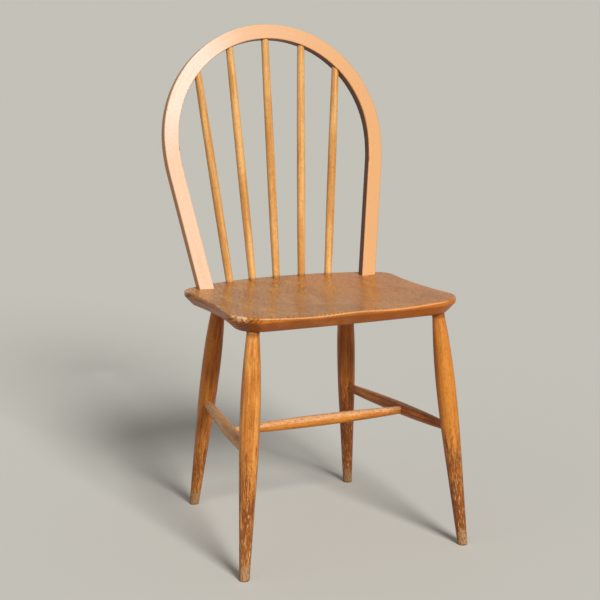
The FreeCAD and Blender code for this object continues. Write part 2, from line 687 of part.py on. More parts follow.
def stick(name):
    """Turned stick with a gentle belly, housed at both ends."""
    run = line_length(name)
    sunk = "Sizes.stick_seat_depth"
    return turned(name, line_placement(name, f"0 - {sunk}"), start="Sizes.stick_seat_radius",
                  shoulder=("Sizes.stick_seat_radius", f"{sunk} + Sizes.stick_neck_length"),
                  belly=("Places.stick_belly_radius", f"{sunk} + {run} * Sizes.stick_belly_share"),
                  neck=("Sizes.stick_top_radius", f"{sunk} + {run} - Sizes.stick_neck_length"),
                  length=f"{sunk} + {run} + Sizes.stick_hoop_depth")


def stick_seat_socket(name):
    """Blind hole in the seat for a stick."""
    return socket(f"{name}_seat_socket", line_placement(name, "0 - Sizes.stick_seat_depth"),
                  "Sizes.stick_seat_radius", "Sizes.stick_seat_depth + Sizes.stick_neck_length")


def stick_hoop_socket(name):
    """Blind hole in the hoop for a stick."""
    below = "Sizes.stick_neck_length"
    return socket(f"{name}_hoop_socket",
                  line_placement(name, f"{line_length(name)} - {below}"),
                  "Sizes.stick_top_radius", f"{below} + Sizes.stick_hoop_depth")


# Hoop: one bent lath of rectangular section, with a round tenon at each foot

def hoop_outline(sketch):
    """Face of the hoop: crown, shoulders and straight limbs, each as an outer and inner line."""
    angle = size("hoop_limb_angle")
    slope = math.radians(angle)
    level_up = value("Places.hoop_centre")
    bend = size("hoop_shoulder_radius")
    bend_x = size("hoop_half_width") - bend
    radii = [(size("hoop_half_width"), bend),
             (size("hoop_half_width") - size("hoop_width"), bend - size("hoop_width"))]
    foot_drop = value("Places.hoop_foot_drop")
    foot_axis = Vector(value("Places.limb_axis_offset") - foot_drop * math.sin(slope),
                       -foot_drop * math.cos(slope), 0)
    geometry = []
    corners = []
    for crown, shoulder in radii:
        geometry.append(arc((0, level_up), crown, 0, 180))
        geometry.append(arc((bend_x, level_up), shoulder, -angle, 0))
        geometry.append(arc((-bend_x, level_up), shoulder, 180, 180 + angle))
        half = size("hoop_width") / 2 if not corners else -size("hoop_width") / 2
        corner = foot_axis + Vector(math.cos(slope), -math.sin(slope), 0) * half
        limb_top = Vector(bend_x + shoulder * math.cos(slope),
                          level_up - shoulder * math.sin(slope), 0)
        geometry.append(line(limb_top, corner))
        geometry.append(line(Vector(-limb_top.x, limb_top.y, 0), Vector(-corner.x, corner.y, 0)))
        corners.append(corner)
    geometry.append(line(corners[0], corners[1]))
    geometry.append(line(Vector(-corners[0].x, corners[0].y, 0),
                         Vector(-corners[1].x, corners[1].y, 0)))
    sketch.addGeometry(geometry)
    put_on_centre_line(sketch, 0, 3)
    fix(sketch, "DistanceY", *ORIGIN, 0, 3, name="crown_centre", to="Places.hoop_centre")
    fix(sketch, "Radius", 0, name="crown", to="Sizes.hoop_half_width")
    fix(sketch, "Coincident", 0, 3, 5, 3)
    fix(sketch, "Radius", 5, name="inner_crown", to="Sizes.hoop_half_width - Sizes.hoop_width")
    drop = "Sizes.hoop_shoulder_radius * sin(Sizes.hoop_limb_angle)"
    for side, (crown_end, shoulder_top, shoulder_foot) in enumerate([(1, 2, 1), (2, 1, 2)]):
        outer, inner = 1 + side, 6 + side
        outer_limb, inner_limb, foot = 3 + side, 8 + side, 10 + side
        fix(sketch, "Horizontal", 0, 3, 0, crown_end)
        fix(sketch, "Horizontal", 5, 3, 5, crown_end)
        fix(sketch, "Tangent", 0, crown_end, outer, shoulder_top)
        fix(sketch, "Radius", outer, name=f"shoulder_{side}", to="Sizes.hoop_shoulder_radius")
        fix(sketch, "Coincident", outer, 3, inner, 3)
        fix(sketch, "Coincident", 5, crown_end, inner, shoulder_top)
        fix(sketch, "DistanceY", outer, shoulder_foot, outer, 3, name=f"limb_top_{side}", to=drop)
        fix(sketch, "Tangent", outer, shoulder_foot, outer_limb, 1)
        fix(sketch, "Tangent", inner, shoulder_foot, inner_limb, 1)
        fix(sketch, "Parallel", outer_limb, inner_limb)
        fix(sketch, "Coincident", outer_limb, 2, foot, 1)
        fix(sketch, "Coincident", inner_limb, 2, foot, 2)
        fix(sketch, "Perpendicular", foot, outer_limb)
        fix(sketch, "DistanceY", outer_limb, 2, *ORIGIN, name=f"foot_{side}",
            to="Places.hoop_foot_drop * cos(Sizes.hoop_limb_angle)"
               " + Sizes.hoop_width / 2 * sin(Sizes.hoop_limb_angle)")


def hoop_body():
    """Bent hoop with rounded long edges, without its tenons."""
    body = new_body("hoop_bow", HOOP_PLACEMENT)
    sketch = new_sketch(body, "hoop_outline", "XY_Plane")
    hoop_outline(sketch)
    pad = body.newObject("PartDesign::Pad", "hoop_section")
    pad.Profile = sketch
    pad.Reversed = True
    bind(pad, Length="Sizes.hoop_thickness")
    doc.recompute()
    faces = [level(0), level(-size("hoop_thickness"))]
    long_edges = [name for test in faces for name in edges_of(pad, test)
                  if pad.Shape.getElement(name).Length > 1.5 * size("hoop_width")]
    rounding = body.newObject("PartDesign::Fillet", "hoop_arris")
    rounding.Base = (pad, long_edges)
    bind(rounding, Radius="Sizes.hoop_arris_radius")
    doc.recompute()
    return body


def hoop_tenon(side, shaped):
    """Round tenon below a limb, dressed flush with the seat's underside."""
    rod = doc.addObject("Part::Cylinder", f"hoop_tenon_rod_{side}")
    bind(rod, Radius="Sizes.hoop_tenon_radius", Height="2 * Places.limb_run",
         Placement=limb_placement(side, "Places.hoop_foot_drop - Sizes.hoop_arris_radius"))
    return common(f"hoop_tenon_{side}", rod, shaped)


def hoop_housing(side):
    """Shallow mortise for the limb's full section, and the round hole below it."""
    recess = doc.addObject("Part::Box", f"hoop_recess_{side}")
    bind(recess, Length="Sizes.hoop_width", Width="Sizes.hoop_thickness",
         Height="2 * Places.hoop_foot_drop",
         Placement=f"{limb_placement(side, '0 - Places.hoop_foot_drop')}"
                   " * placement(vector(0 - Sizes.hoop_width / 2; 0 - Sizes.hoop_thickness / 2; 0);"
                   " rotation(vector(0; 0; 1); 0))")
    bore = socket(f"hoop_bore_{side}", limb_placement(side, "0"), "Sizes.hoop_tenon_radius",
                  "2 * Places.limb_run")
    return [recess, bore]


def hoop_wedge_start():
    """Distance down a limb to the thin end of its wedge."""
    return "Places.limb_run - Sizes.wedge_length"


def hoop_wedge(side, shaped):
    """Wedge driven up into the tenon and dressed flush with the seat's underside."""
    width = "2 * (Sizes.hoop_tenon_radius - Sizes.wedge_side_gap)"
    blank = wedge(f"hoop_wedge_blank_{side}", limb_placement(side, hoop_wedge_start()), width,
                  OVERRUN)
    return common(f"hoop_wedge_{side}", blank, shaped)


def back_hoop(bow, shaped):
    """Hoop with its tenons, bored for the sticks and sawn for the wedges."""
    tenons = [hoop_tenon(side, shaped) for side in SIDES]
    whole = joined("hoop_with_tenons", [bow, *tenons])
    kerfs = [wedge(f"hoop_kerf_{side}", limb_placement(side, hoop_wedge_start()),
                   "4 * Sizes.hoop_tenon_radius", OVERRUN) for side in SIDES]
    holes = [stick_hoop_socket(name) for name in STICKS]
    return cut("back_hoop", whole, joined("hoop_cuts", kerfs + holes))


# Put the chair together, check it and write it out

def build():
    """Make every piece of the chair and return the finished ones."""
    name_shared_places()
    for name, (side, end) in LEGS.items():
        name_leg_line(name, side, end)
    name_stretcher_lines()
    for name, layout in STICKS.items():
        name_stick_line(name, *layout)
    shaped = seat_body()
    sockets = [leg_socket(name, end) for name, (side, end) in LEGS.items()]
    sockets += [stick_seat_socket(name) for name in STICKS]
    for side in SIDES:
        sockets += hoop_housing(side)
    parts = seat_boards(shaped, sockets)
    parts += [leg(name, side, end) for name, (side, end) in LEGS.items()]
    parts += [side_stretcher(side) for side in SIDES]
    parts.append(stretcher("cross_stretcher", "cross", "cross_stretcher", "0.5"))
    parts += [stick(name) for name in STICKS]
    parts.append(back_hoop(hoop_body(), shaped))
    parts += [hoop_wedge(side, shaped) for side in SIDES]
    doc.recompute()
    return parts


def check(parts):
    """Stop if anything in the document failed or a piece isn't one sound solid."""
    for item in doc.Objects:
        if {"Invalid", "Error"} & set(item.State):
            raise RuntimeError(f"{item.Label} failed: {item.State}")
    for part in parts:
        shape = part.Shape
        if shape.isNull() or not shape.isValid() or len(shape.Solids) != 1:
            raise RuntimeError(f"{part.Label} isn't one sound solid")


def export(parts):
    """Write each piece to a file of its own."""
    os.makedirs("parts", exist_ok=True)
    for part in parts:
        part.Shape.exportStep(os.path.join("parts", f"{part.Label}.step"))
        print(part.Label, round(part.Shape.Volume), "mm3")


chair = build()
check(chair)
export(chair)
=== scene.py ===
"""Looks of a hoop back dining chair: turned beech, a bent beech hoop and a saddled elm seat."""

import math

import bmesh
import bpy
import numpy as np
from bpy.props import FloatProperty, FloatVectorProperty, PointerProperty
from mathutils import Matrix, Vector, noise


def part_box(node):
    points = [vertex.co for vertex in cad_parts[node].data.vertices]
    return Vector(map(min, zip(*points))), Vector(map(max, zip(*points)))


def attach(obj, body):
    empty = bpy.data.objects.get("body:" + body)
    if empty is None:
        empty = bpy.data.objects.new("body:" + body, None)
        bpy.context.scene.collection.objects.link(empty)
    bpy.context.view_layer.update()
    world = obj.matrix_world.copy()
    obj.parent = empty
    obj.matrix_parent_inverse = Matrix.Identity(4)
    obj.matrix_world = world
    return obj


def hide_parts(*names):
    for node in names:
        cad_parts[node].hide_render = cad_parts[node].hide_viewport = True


bl_info = {
    "name": "Hoop Back Chair",
    "version": (1, 0, 0),
    "blender": (4, 5, 0),
    "location": "3D View > Sidebar > Chair",
    "description": "Turns and finishes the pieces of a hoop back dining chair",
    "category": "Object",
}

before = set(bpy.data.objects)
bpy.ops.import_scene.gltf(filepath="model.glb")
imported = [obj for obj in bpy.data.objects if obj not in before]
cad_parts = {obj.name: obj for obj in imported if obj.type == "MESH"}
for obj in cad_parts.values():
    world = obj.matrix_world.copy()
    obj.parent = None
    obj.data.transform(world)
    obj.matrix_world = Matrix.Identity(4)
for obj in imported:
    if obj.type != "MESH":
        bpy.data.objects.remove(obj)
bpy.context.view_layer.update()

MM = 0.001
# Lathe meshes: points round a piece, rings along it, and rings round a worn edge.
SEGMENTS = 48
RING_STEP = 3 * MM
ROUNDING_STEPS = 4
# Length over which the slant of a foot's level cut fades out of the rings above it.
LEVELLING = 100 * MM
# Width of the rim that goes round each end, as a share of the end's radius.
END_RIM = 0.12
# How far a hand finished surface strays from a true circle, and how finely along the piece.
HAND_WORK = 0.12 * MM
HAND_WORK_PER_METRE = 22
# Each turned piece is cut from its own place in the wood, this far across and along it.
WOOD_ACROSS = 0.37
WOOD_ALONG = 1.7
# How far a piece may lie off the CAD node that it stands for.
PLACE_TOLERANCE = 2 * MM
# How strongly wax, dirt and painted contact shade show where one piece enters another, and under a
# foot.
JOINT_DIRT_AND_SHADE = 0.6


# Colour and nodes

def linear(hex_colour):
    """Turn an sRGB hex colour into the linear values that Blender works in."""
    channels = [int(hex_colour[i:i + 2], 16) / 255 for i in (0, 2, 4)]
    return [c / 12.92 if c <= 0.04045 else ((c + 0.055) / 1.055) ** 2.4 for c in channels]


def add(tree, kind, inputs=None, **settings):
    """Add a node, set its properties, and fill its inputs with values or other nodes."""
    node = tree.nodes.new(kind)
    for name, setting in settings.items():
        setattr(node, name, setting)
    for name, source in (inputs or {}).items():
        socket = node.inputs[name]
        if isinstance(source, bpy.types.Node):
            source = next(output for output in source.outputs if output.enabled)
        if isinstance(source, bpy.types.NodeSocket):
            tree.links.new(source, socket)
        elif socket.type == "RGBA":
            socket.default_value = (*source[:3], 1)
        else:
            socket.default_value = source
    return node


# Sizes and colours that a user would change

def length(name, description, millimetres):
    """Length property, given in millimetres and kept in metres."""
    return FloatProperty(name=name, description=description, default=millimetres * MM,
                         unit="LENGTH", subtype="DISTANCE")


def share(name, description, default):
    """Property without a unit."""
    return FloatProperty(name=name, description=description, default=default, subtype="FACTOR",
                         min=0, max=1)


def colour(name, description, hex_colour):
    """Colour property, given as an sRGB hex value."""
    return FloatVectorProperty(name=name, description=description, default=linear(hex_colour),
                               subtype="COLOR", min=0, max=1)


class ChairLegSizes(bpy.types.PropertyGroup):
    rise: length("Rise", "Floor to the seat's underside", 406.5)
    front_across: length("Front across", "Centre line to a front leg's top", 171)
    front_forward: length("Front forward", "Origin forward to a front leg's top", 166.6)
    rear_across: length("Rear across", "Centre line to a rear leg's top", 125.33)
    rear_back: length("Rear back", "Origin back to a rear leg's top", 114.3)
    side_splay: length("Side splay", "How far a leg spreads sideways", 34.6)
    front_splay: length("Front splay", "How far a front leg spreads forwards", 41.7)
    rear_splay: length("Rear splay", "How far a rear leg spreads backwards", 58.2)
    foot_radius: length("Foot radius", "Leg at the floor", 8.6)
    taper_height: length("Taper height", "Top of the straight taper", 180)
    taper_radius: length("Taper radius", "Leg at the top of its taper", 15.3)
    belly_height: length("Belly height", "Widest place of the leg", 275)
    belly_radius: length("Belly radius", "Leg at its widest", 17)
    tenon_radius: length("Tenon radius", "Leg where it enters the seat", 10.9)
    tenon_depth: length("Tenon depth", "Leg inside the seat", 21)
    neck: length("Neck", "Straight part below the seat", 8)
    foot_rounding: length("Foot rounding", "Worn edge of the foot", 1.6)


class ChairStretcherSizes(bpy.types.PropertyGroup):
    front_height: length("Front height", "Side stretcher at the front leg", 209)
    rear_height: length("Rear height", "Side stretcher at the rear leg", 204)
    side_end_radius: length("Side end radius", "Side stretcher at its tenons", 7.6)
    side_belly_radius: length("Side belly radius", "Side stretcher at its widest", 11)
    side_belly_share: share("Side belly share", "Widest place, from rear to front", 0.52)
    side_tenon: length("Side tenon", "Straight end of a side stretcher", 21)
    cross_share: share("Cross share", "Place of the cross stretcher, rear to front", 0.58)
    cross_end_radius: length("Cross end radius", "Cross stretcher at its tenons", 7)
    cross_belly_radius: length("Cross belly radius", "Cross stretcher at its widest", 10.3)
    cross_tenon: length("Cross tenon", "Straight end of the cross stretcher", 14)


class ChairBackSizes(bpy.types.PropertyGroup):
    seat_height: length("Seat height", "Top of the seat over the origin", 435)
    seat_tilt: FloatProperty(name="Seat tilt", description="Fall of the seat towards the back",
                             default=math.radians(1.5), unit="ROTATION", subtype="ANGLE")
    row_radius: length("Row radius", "Arc that the sticks stand on", 316)
    row_centre: length("Row centre", "Origin forward to that arc's centre", 166.5)
    seat_spacing: length("Seat spacing", "Sideways spacing of the sticks at the seat", 49.2)
    inner_top: length("Inner top", "Centre line to an inner stick at the hoop", 70.3)
    outer_top: length("Outer top", "Centre line to an outer stick at the hoop", 135.5)
    seat_radius: length("Seat radius", "Stick at the seat", 7)
    belly_radius: length("Belly radius", "Stick at its widest", 7.8)
    top_radius: length("Top radius", "Stick at the hoop", 6.7)
    belly_share: share("Belly share", "Height of a stick's widest place", 0.42)
    neck: length("Neck", "Straight part outside each socket", 8)
    seat_depth: length("Seat depth", "Stick inside the seat", 12)
    hoop_depth: length("Hoop depth", "Stick inside the hoop", 15)
    hoop_front: length("Hoop front", "Origin back to the hoop's front face", 84.7)
    hoop_lean: FloatProperty(name="Hoop lean", description="Lean of the hoop from the vertical",
                             default=math.radians(14), unit="ROTATION", subtype="ANGLE")
    hoop_centre: length("Hoop centre", "Seat to the centre of the crown, along the lean", 256.6)
    hoop_half_width: length("Hoop half width", "Radius of the crown", 212.4)
    hoop_shoulder: length("Hoop shoulder", "Radius of the bend below the crown", 326)
    hoop_limb_angle: FloatProperty(name="Limb angle", description="How far a limb draws in",
                                   default=math.radians(9.6), unit="ROTATION", subtype="ANGLE")
    hoop_width: length("Hoop width", "Face of the hoop's section", 26.8)
    hoop_thickness: length("Hoop thickness", "Hoop's section, front to back", 19.5)


class ChairColours(bpy.types.PropertyGroup):
    elm_light: colour("Elm light", "Pale wood of the seat", "DA923E")
    elm_dark: colour("Elm dark", "Dark wood of the seat", "A66014")
    elm_warm: colour("Elm warm", "Orange cast of the seat's right board and edge", "BE6418")
    elm_glint: colour("Elm glint", "Short pale waves between the pores", "E3A55E")
    elm_pore: colour("Elm pores", "Open pores of the seat", "5A2B0C")
    elm_worn: colour("Elm worn", "Seat where the lacquer is knocked off", "EFCAA4")
    # Pale line on the front arris: wood rubbed by legs, and a painted highlight.
    elm_rubbed_highlight: colour("Elm rubbed", "Front arris of the seat, rubbed by legs", "F2C096")
    elm_under: colour("Elm underside", "Dull underside of the seat", "7A4820")
    leg_light: colour("Leg light", "Light beech of the legs", "F0A650")
    leg_dark: colour("Leg dark", "Dark beech of the legs", "C07428")
    # Darker beech of the rear legs, partly painted shade from the seat over them; the light one
    # also colours the front right leg and the cross stretcher.
    deep_light_and_shade: colour("Rear light", "Light beech of the rear legs", "DA8C34")
    rear_dark_and_shade: colour("Rear dark", "Dark beech of the rear legs", "A45A14")
    leg_fleck: colour("Leg fleck", "Flecks in the legs", "7E4216")
    leg_scratch: colour("Leg scratch", "Scratches low down on the legs", "EDB87C")
    stick_light: colour("Stick light", "Light beech of the sticks", "EAB66E")
    stick_dark: colour("Stick dark", "Dark beech of the sticks", "CF9145")
    # The hoop's front is rubbed pale; its paler left and palest left shoulder are also a painted
    # sheen.
    hoop_pale_sheen: colour("Hoop pale", "Front of the hoop where it is rubbed most", "F3D9C4")
    hoop_cream_sheen: colour("Hoop cream", "Rubbed front of the hoop, on the left", "E9C3A1")
    hoop_peach: colour("Hoop peach", "Rubbed front of the hoop, on the right", "DCA56C")
    hoop_dark: colour("Hoop dark", "Dark streaks of the hoop", "DDA070")
    hoop_fleck: colour("Hoop fleck", "Flecks in the hoop", "CB8A54")
    hoop_side: colour("Hoop side", "Lacquered outer side and back of the hoop", "CF9860")
    # Inner side of the hoop: darkened lacquer, and painted shade.
    hoop_inside_shade: colour("Hoop inside", "Darkened inner side of the hoop", "6A3812")
    rubbed_wood: colour("Rubbed wood", "Stretchers where feet have rubbed them", "EEB986")
    red_light: colour("Red light", "Light beech of the right stretcher", "D08442")
    red_dark: colour("Red dark", "Dark beech of the right stretcher", "9A541E")
    bare_wood: colour("Bare wood", "Dry wood at the feet", "B58E62")
    # Dirt in the worn lacquer; at the joints and at the very bottom of the feet it is also painted
    # contact shade.
    grime_and_shade: colour("Grime", "Dirt in the worn lacquer", "743814")
    floor: colour("Floor", "Plain floor as it is seen", "DCD9CF")
    floor_bounce: colour("Floor bounce", "Colour that the floor throws up", "B08A62")
    backdrop: colour("Backdrop", "Plain background", "C3C1B8")


GROUPS = {
    "chair_legs": ChairLegSizes,
    "chair_stretchers": ChairStretcherSizes,
    "chair_back": ChairBackSizes,
    "chair_colours": ChairColours,
}


# Turned pieces

def point_at(line, portion):
    """Point at a share of a centre line."""
    start, finish = line
    return start.lerp(finish, portion)


def belly(position, widest, widest_radius, end, end_radius):
    """Radius at a place on the arc that runs from a turning's widest place to one end."""
    drop = widest_radius - end_radius
    sweep = (drop ** 2 + (end - widest) ** 2) / (2 * drop)
    return widest_radius - sweep + math.sqrt(sweep ** 2 - (position - widest) ** 2)


def turning(name, line, radius_at, seed, before=0.0, after=0.0, level_end=False, rounding=0.0):
    """Mesh of a turned piece along a line, with the wood's own coordinates kept on its points.

    radius_at gives the radius at a distance from the line's start.  The piece starts
    before the line and ends after it.  A level end is sawn parallel to the floor.
    """
    start, finish = line
    run = (finish - start).length
    axis = (finish - start).normalized()
    side = axis.cross(Vector((0, 1, 0))).normalized()
    front = side.cross(axis)
    steps = round((run + before + after) / RING_STEP)
    stations = [-before + (run + before + after) * i / steps for i in range(steps + 1)]
    if rounding:
        turns = [math.pi / 2 * i / ROUNDING_STEPS for i in range(ROUNDING_STEPS + 1)]
        stations[:1] = [rounding * (1 - math.cos(turn)) for turn in turns]
    mesh = bmesh.new()
    wood = mesh.verts.layers.float_vector.new("wood")
    rings = []
    for station in stations:
        ring = []
        worn = rounding and rounding * (1 - worn_edge(station / rounding))
        for segment in range(SEGMENTS):
            turn = 2 * math.pi * segment / SEGMENTS
            out = side * math.cos(turn) + front * math.sin(turn)
            radius = radius_at(station) - worn + hand_work(out, station, seed, run, before)
            slant = radius * out.z / axis.z * max(0.0, 1 - station / LEVELLING) if level_end else 0
            vertex = mesh.verts.new(start + axis * (station - slant) + out * radius)
            vertex[wood] = (radius * math.cos(turn) + seed * WOOD_ACROSS, radius * math.sin(turn),
                            station - slant + seed * WOOD_ALONG)
            ring.append(vertex)
        rings.append(ring)
    for lower, upper in zip(rings, rings[1:]):
        for i in range(SEGMENTS):
            j = (i + 1) % SEGMENTS
            mesh.faces.new((lower[i], lower[j], upper[j], upper[i]))
    for ring, flip in ((rings[0], True), (rings[-1], False)):
        cap(mesh, wood, ring, flip)
    for face in mesh.faces:
        face.smooth = True
    data = bpy.data.meshes.new(name)
    mesh.to_mesh(data)
    mesh.free()
    piece = bpy.data.objects.new(name, data)
    bpy.context.scene.collection.objects.link(piece)
    return piece


def worn_edge(portion):
    """Quarter circle profile of a worn edge, from 0 at the end to 1 where the side starts."""
    return math.sqrt(1 - (1 - min(portion, 1)) ** 2)


def cap(mesh, wood, ring, flip):
    """Close an end with a rim loop and a fan."""
    centre_place = sum((v.co for v in ring), Vector()) / len(ring)
    centre_wood = sum((Vector(v[wood]) for v in ring), Vector()) / len(ring)
    inner = []
    for vertex in ring:
        new = mesh.verts.new(vertex.co.lerp(centre_place, END_RIM))
        new[wood] = Vector(vertex[wood]).lerp(centre_wood, END_RIM)
        inner.append(new)
    centre = mesh.verts.new(centre_place)
    centre[wood] = centre_wood
    count = len(ring)
    for i in range(count):
        j = (i + 1) % count
        band = (ring[i], inner[i], inner[j], ring[j])
        fan = (inner[i], centre, inner[j])
        for loop in (band, fan):
            mesh.faces.new(loop if flip else tuple(reversed(loop)))


def hand_work(out, station, seed, run, before):
    """Small departures of a hand finished surface from a true circle, with none at the ends."""
    inside = min(station + before, run - station)
    fade = min(max((inside - 10 * MM) / (20 * MM), 0.0), 1.0)
    place = Vector((out.x * 0.6 + seed * 9.1, out.y * 0.6, station * HAND_WORK_PER_METRE))
    return fade * HAND_WORK * noise.noise(place)


def dress(piece, node, material):
    """Let a piece stand for a CAD node, and check that it lies where the node is."""
    low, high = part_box(node)
    corners = np.array([v.co for v in piece.data.vertices], float)
    gap = max(abs(corners.min(0) - np.array(low)).max(), abs(corners.max(0) - np.array(high)).max())
    if gap > PLACE_TOLERANCE:
        raise RuntimeError(f"{piece.name} is {gap / MM:.1f} mm off {node}")
    piece.data.materials.append(material)
    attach(piece, "root")
    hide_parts(node)
    return piece


LEGS = {
    "front_left_leg": (-1, "front"),
    "front_right_leg": (1, "front"),
    "rear_left_leg": (-1, "rear"),
    "rear_right_leg": (1, "rear"),
}


def leg_line(sizes, side, end):
    """Centre line of a leg from the floor to the level of the seat's underside."""
    if end == "front":
        across, along, spread = sizes.front_across, -sizes.front_forward, -sizes.front_splay
    else:
        across, along, spread = sizes.rear_across, sizes.rear_back, sizes.rear_splay
    foot = Vector((side * (across + sizes.side_splay), along + spread, 0))
    return foot, Vector((side * across, along, sizes.rise))


def leg_point(sizes, side, end, height):
    """Point of a leg's centre line at a height above the floor."""
    return point_at(leg_line(sizes, side, end), height / sizes.rise)


def stretcher_lines(context):
    """Centre lines of the three stretchers."""
    legs = context.scene.chair_legs
    sizes = context.scene.chair_stretchers
    lines = {}
    for name, side in (("left_stretcher", -1), ("right_stretcher", 1)):
        lines[name] = (leg_point(legs, side, "rear", sizes.rear_height),
                       leg_point(legs, side, "front", sizes.front_height))
    lines["cross_stretcher"] = (point_at(lines["left_stretcher"], sizes.cross_share),
                                point_at(lines["right_stretcher"], sizes.cross_share))
    return lines


# Wood finishes

def new_material(name):
    """Empty material and its node tree."""
    material = bpy.data.materials.new(name)
    material.use_nodes = True
    material.node_tree.nodes.clear()
    return material, material.node_tree


def figure(tree, place, cell, detail=2.0, roughness=0.5, limits=None):
    """Random figure whose cells have a real size, in millimetres along each of its axes.

    With limits it is a soft mask: 0 up to the first of them, and 1 from the second on.
    """
    scaled = add(tree, "ShaderNodeVectorMath", {0: place, 1: [1 / (size * MM) for size in cell]},
                 operation="MULTIPLY")
    pattern = add(tree, "ShaderNodeTexNoise",
                  {"Vector": scaled, "Scale": 1.0, "Detail": detail, "Roughness": roughness})
    if limits is None:
        return pattern
    return add(tree, "ShaderNodeMapRange",
               {"Value": pattern, "From Min": limits[0], "From Max": limits[1]},
               interpolation_type="SMOOTHSTEP")


def stained(tree, wood, mask, strength, colour):
    """Lay a second colour over the wood, as strongly as a mask says."""
    amount = add(tree, "ShaderNodeMath", {0: mask, 1: strength}, operation="MULTIPLY")
    return add(tree, "ShaderNodeMix", {0: amount, 6: wood, 7: colour}, data_type="RGBA")


def dirt_and_contact_shade(tree, wood, height, clean, dirty, colour):
    """Darken the wood at a joint or a foot between two heights, in metres: dirt collects there, and
    the darkening is also painted contact shade.
    """
    near = add(tree, "ShaderNodeMapRange",
               {"Value": height, "From Min": clean, "From Max": dirty})
    return stained(tree, wood, near, JOINT_DIRT_AND_SHADE, colour)


def close(tree, wood, roughness, relief, depth, **sockets):
    """End a wood's node tree with its shader; depth is the relief's, in millimetres."""
    bump = add(tree, "ShaderNodeBump", {"Height": relief, "Distance": depth * MM})
    shader = add(tree, "ShaderNodeBsdfPrincipled",
                 {"Base Color": wood, "Roughness": roughness, "Normal": bump, **sockets})
    add(tree, "ShaderNodeOutputMaterial", {"Surface": shader})


def beech(tree, place, light, dark, fleck, flecks):
    """Colour and relief of beech: long soft streaks, fine fibres and short dark ray flecks.

    Real flecks are about 0.3 mm wide, too fine to show, so they are drawn 1.2 mm wide.
    """
    streaks = figure(tree, place, (6, 6, 240), detail=3)
    fibres = figure(tree, place, (1.4, 1.4, 60), detail=3)
    clouds = figure(tree, place, (28, 28, 90))
    tone = add(tree, "ShaderNodeMath", {0: streaks, 1: 0.8, 2: clouds}, operation="MULTIPLY_ADD")
    tone = add(tree, "ShaderNodeMath", {0: fibres, 1: 0.6, 2: tone}, operation="MULTIPLY_ADD")
    darkness = add(tree, "ShaderNodeMapRange", {"Value": tone, "From Min": 1.0, "From Max": 1.42},
                   interpolation_type="SMOOTHSTEP")
    wood = add(tree, "ShaderNodeMix", {0: darkness, 6: light, 7: dark}, data_type="RGBA")
    rays = figure(tree, place, (1.2, 1.2, 5), detail=1, limits=(0.56, 0.68))
    dashes = figure(tree, place, (1.6, 1.6, 16), limits=(0.6, 0.7))
    marks = add(tree, "ShaderNodeMath", {0: rays, 1: dashes}, operation="MAXIMUM")
    wood = stained(tree, wood, marks, flecks, fleck)
    relief = add(tree, "ShaderNodeMath", {0: fibres, 1: marks}, operation="SUBTRACT")
    return wood, relief


def grain_place(tree):
    """Place in a turned or bent piece's own wood, in metres; the third value runs along it."""
    return add(tree, "ShaderNodeAttribute", attribute_name="wood").outputs["Vector"]


def beech_leg_finish(name, colours, seat_underside, light, dark, soiling):
    """Satin lacquered turned beech, kicked and scratched low down, and bare at the foot.

    The lacquer is golden.  From half way down dirt has crept into its scratches, so it
    turns a mottled red brown, as far as soiling says.  The last 25 mm are grey, dry wood,
    and soiling also says how strongly it is specked.
    """
    material, tree = new_material(f"satin_lacquered_turned_beech_{name}")
    place = grain_place(tree)
    spot = add(tree, "ShaderNodeTexCoord").outputs["Object"]
    height = add(tree, "ShaderNodeSeparateXYZ", {0: spot}).outputs["Z"]
    wood, relief = beech(tree, place, light, dark, colours.leg_fleck, 0.4)
    lowness = add(tree, "ShaderNodeMapRange",
                  {"Value": height, "From Min": 0.33, "From Max": 0.04},
                  interpolation_type="SMOOTHSTEP")
    blotches = figure(tree, place, (5, 5, 38), detail=4, roughness=0.7)
    soaked = add(tree, "ShaderNodeMath", {0: lowness, 1: soiling, 2: blotches},
                 operation="MULTIPLY_ADD")
    soaked = add(tree, "ShaderNodeMapRange",
                 {"Value": soaked, "From Min": 0.65, "From Max": 0.8},
                 interpolation_type="SMOOTHSTEP")
    wood = stained(tree, wood, soaked, 0.8, colours.grime_and_shade)
    scratches = figure(tree, place, (1.3, 1.3, 12), limits=(0.55, 0.67))
    scuffed = add(tree, "ShaderNodeMath", {0: scratches, 1: lowness}, operation="MULTIPLY")
    wood = stained(tree, wood, scuffed, 0.75, colours.leg_scratch)
    ragged = figure(tree, place, (5, 5, 12), detail=4, roughness=0.8)
    above_edge = add(tree, "ShaderNodeMath", {0: ragged, 1: 0.06, 2: height},
                     operation="MULTIPLY_ADD")
    bare = add(tree, "ShaderNodeMapRange",
               {"Value": above_edge, "From Min": 0.060, "From Max": 0.054},
               interpolation_type="SMOOTHSTEP")
    specks = figure(tree, place, (1.8, 1.8, 5), limits=(0.47, 0.62))
    dry = stained(tree, colours.bare_wood, specks, 2 * soiling, colours.grime_and_shade)
    wood = add(tree, "ShaderNodeMix", {0: bare, 6: wood, 7: dry}, data_type="RGBA")
    # Darker at the foot's very bottom and just under the seat: dirt and painted contact shade.
    wood = dirt_and_contact_shade(tree, wood, height, 0.003, 0.001, colours.grime_and_shade)
    wood = dirt_and_contact_shade(tree, wood, height, seat_underside - 0.005, seat_underside, colours.grime_and_shade)
    roughness = add(tree, "ShaderNodeMath", {0: bare, 1: 0.4, 2: 0.3}, operation="MULTIPLY_ADD")
    close(tree, wood, roughness, relief, 0.2, IOR=1.42)
    return material


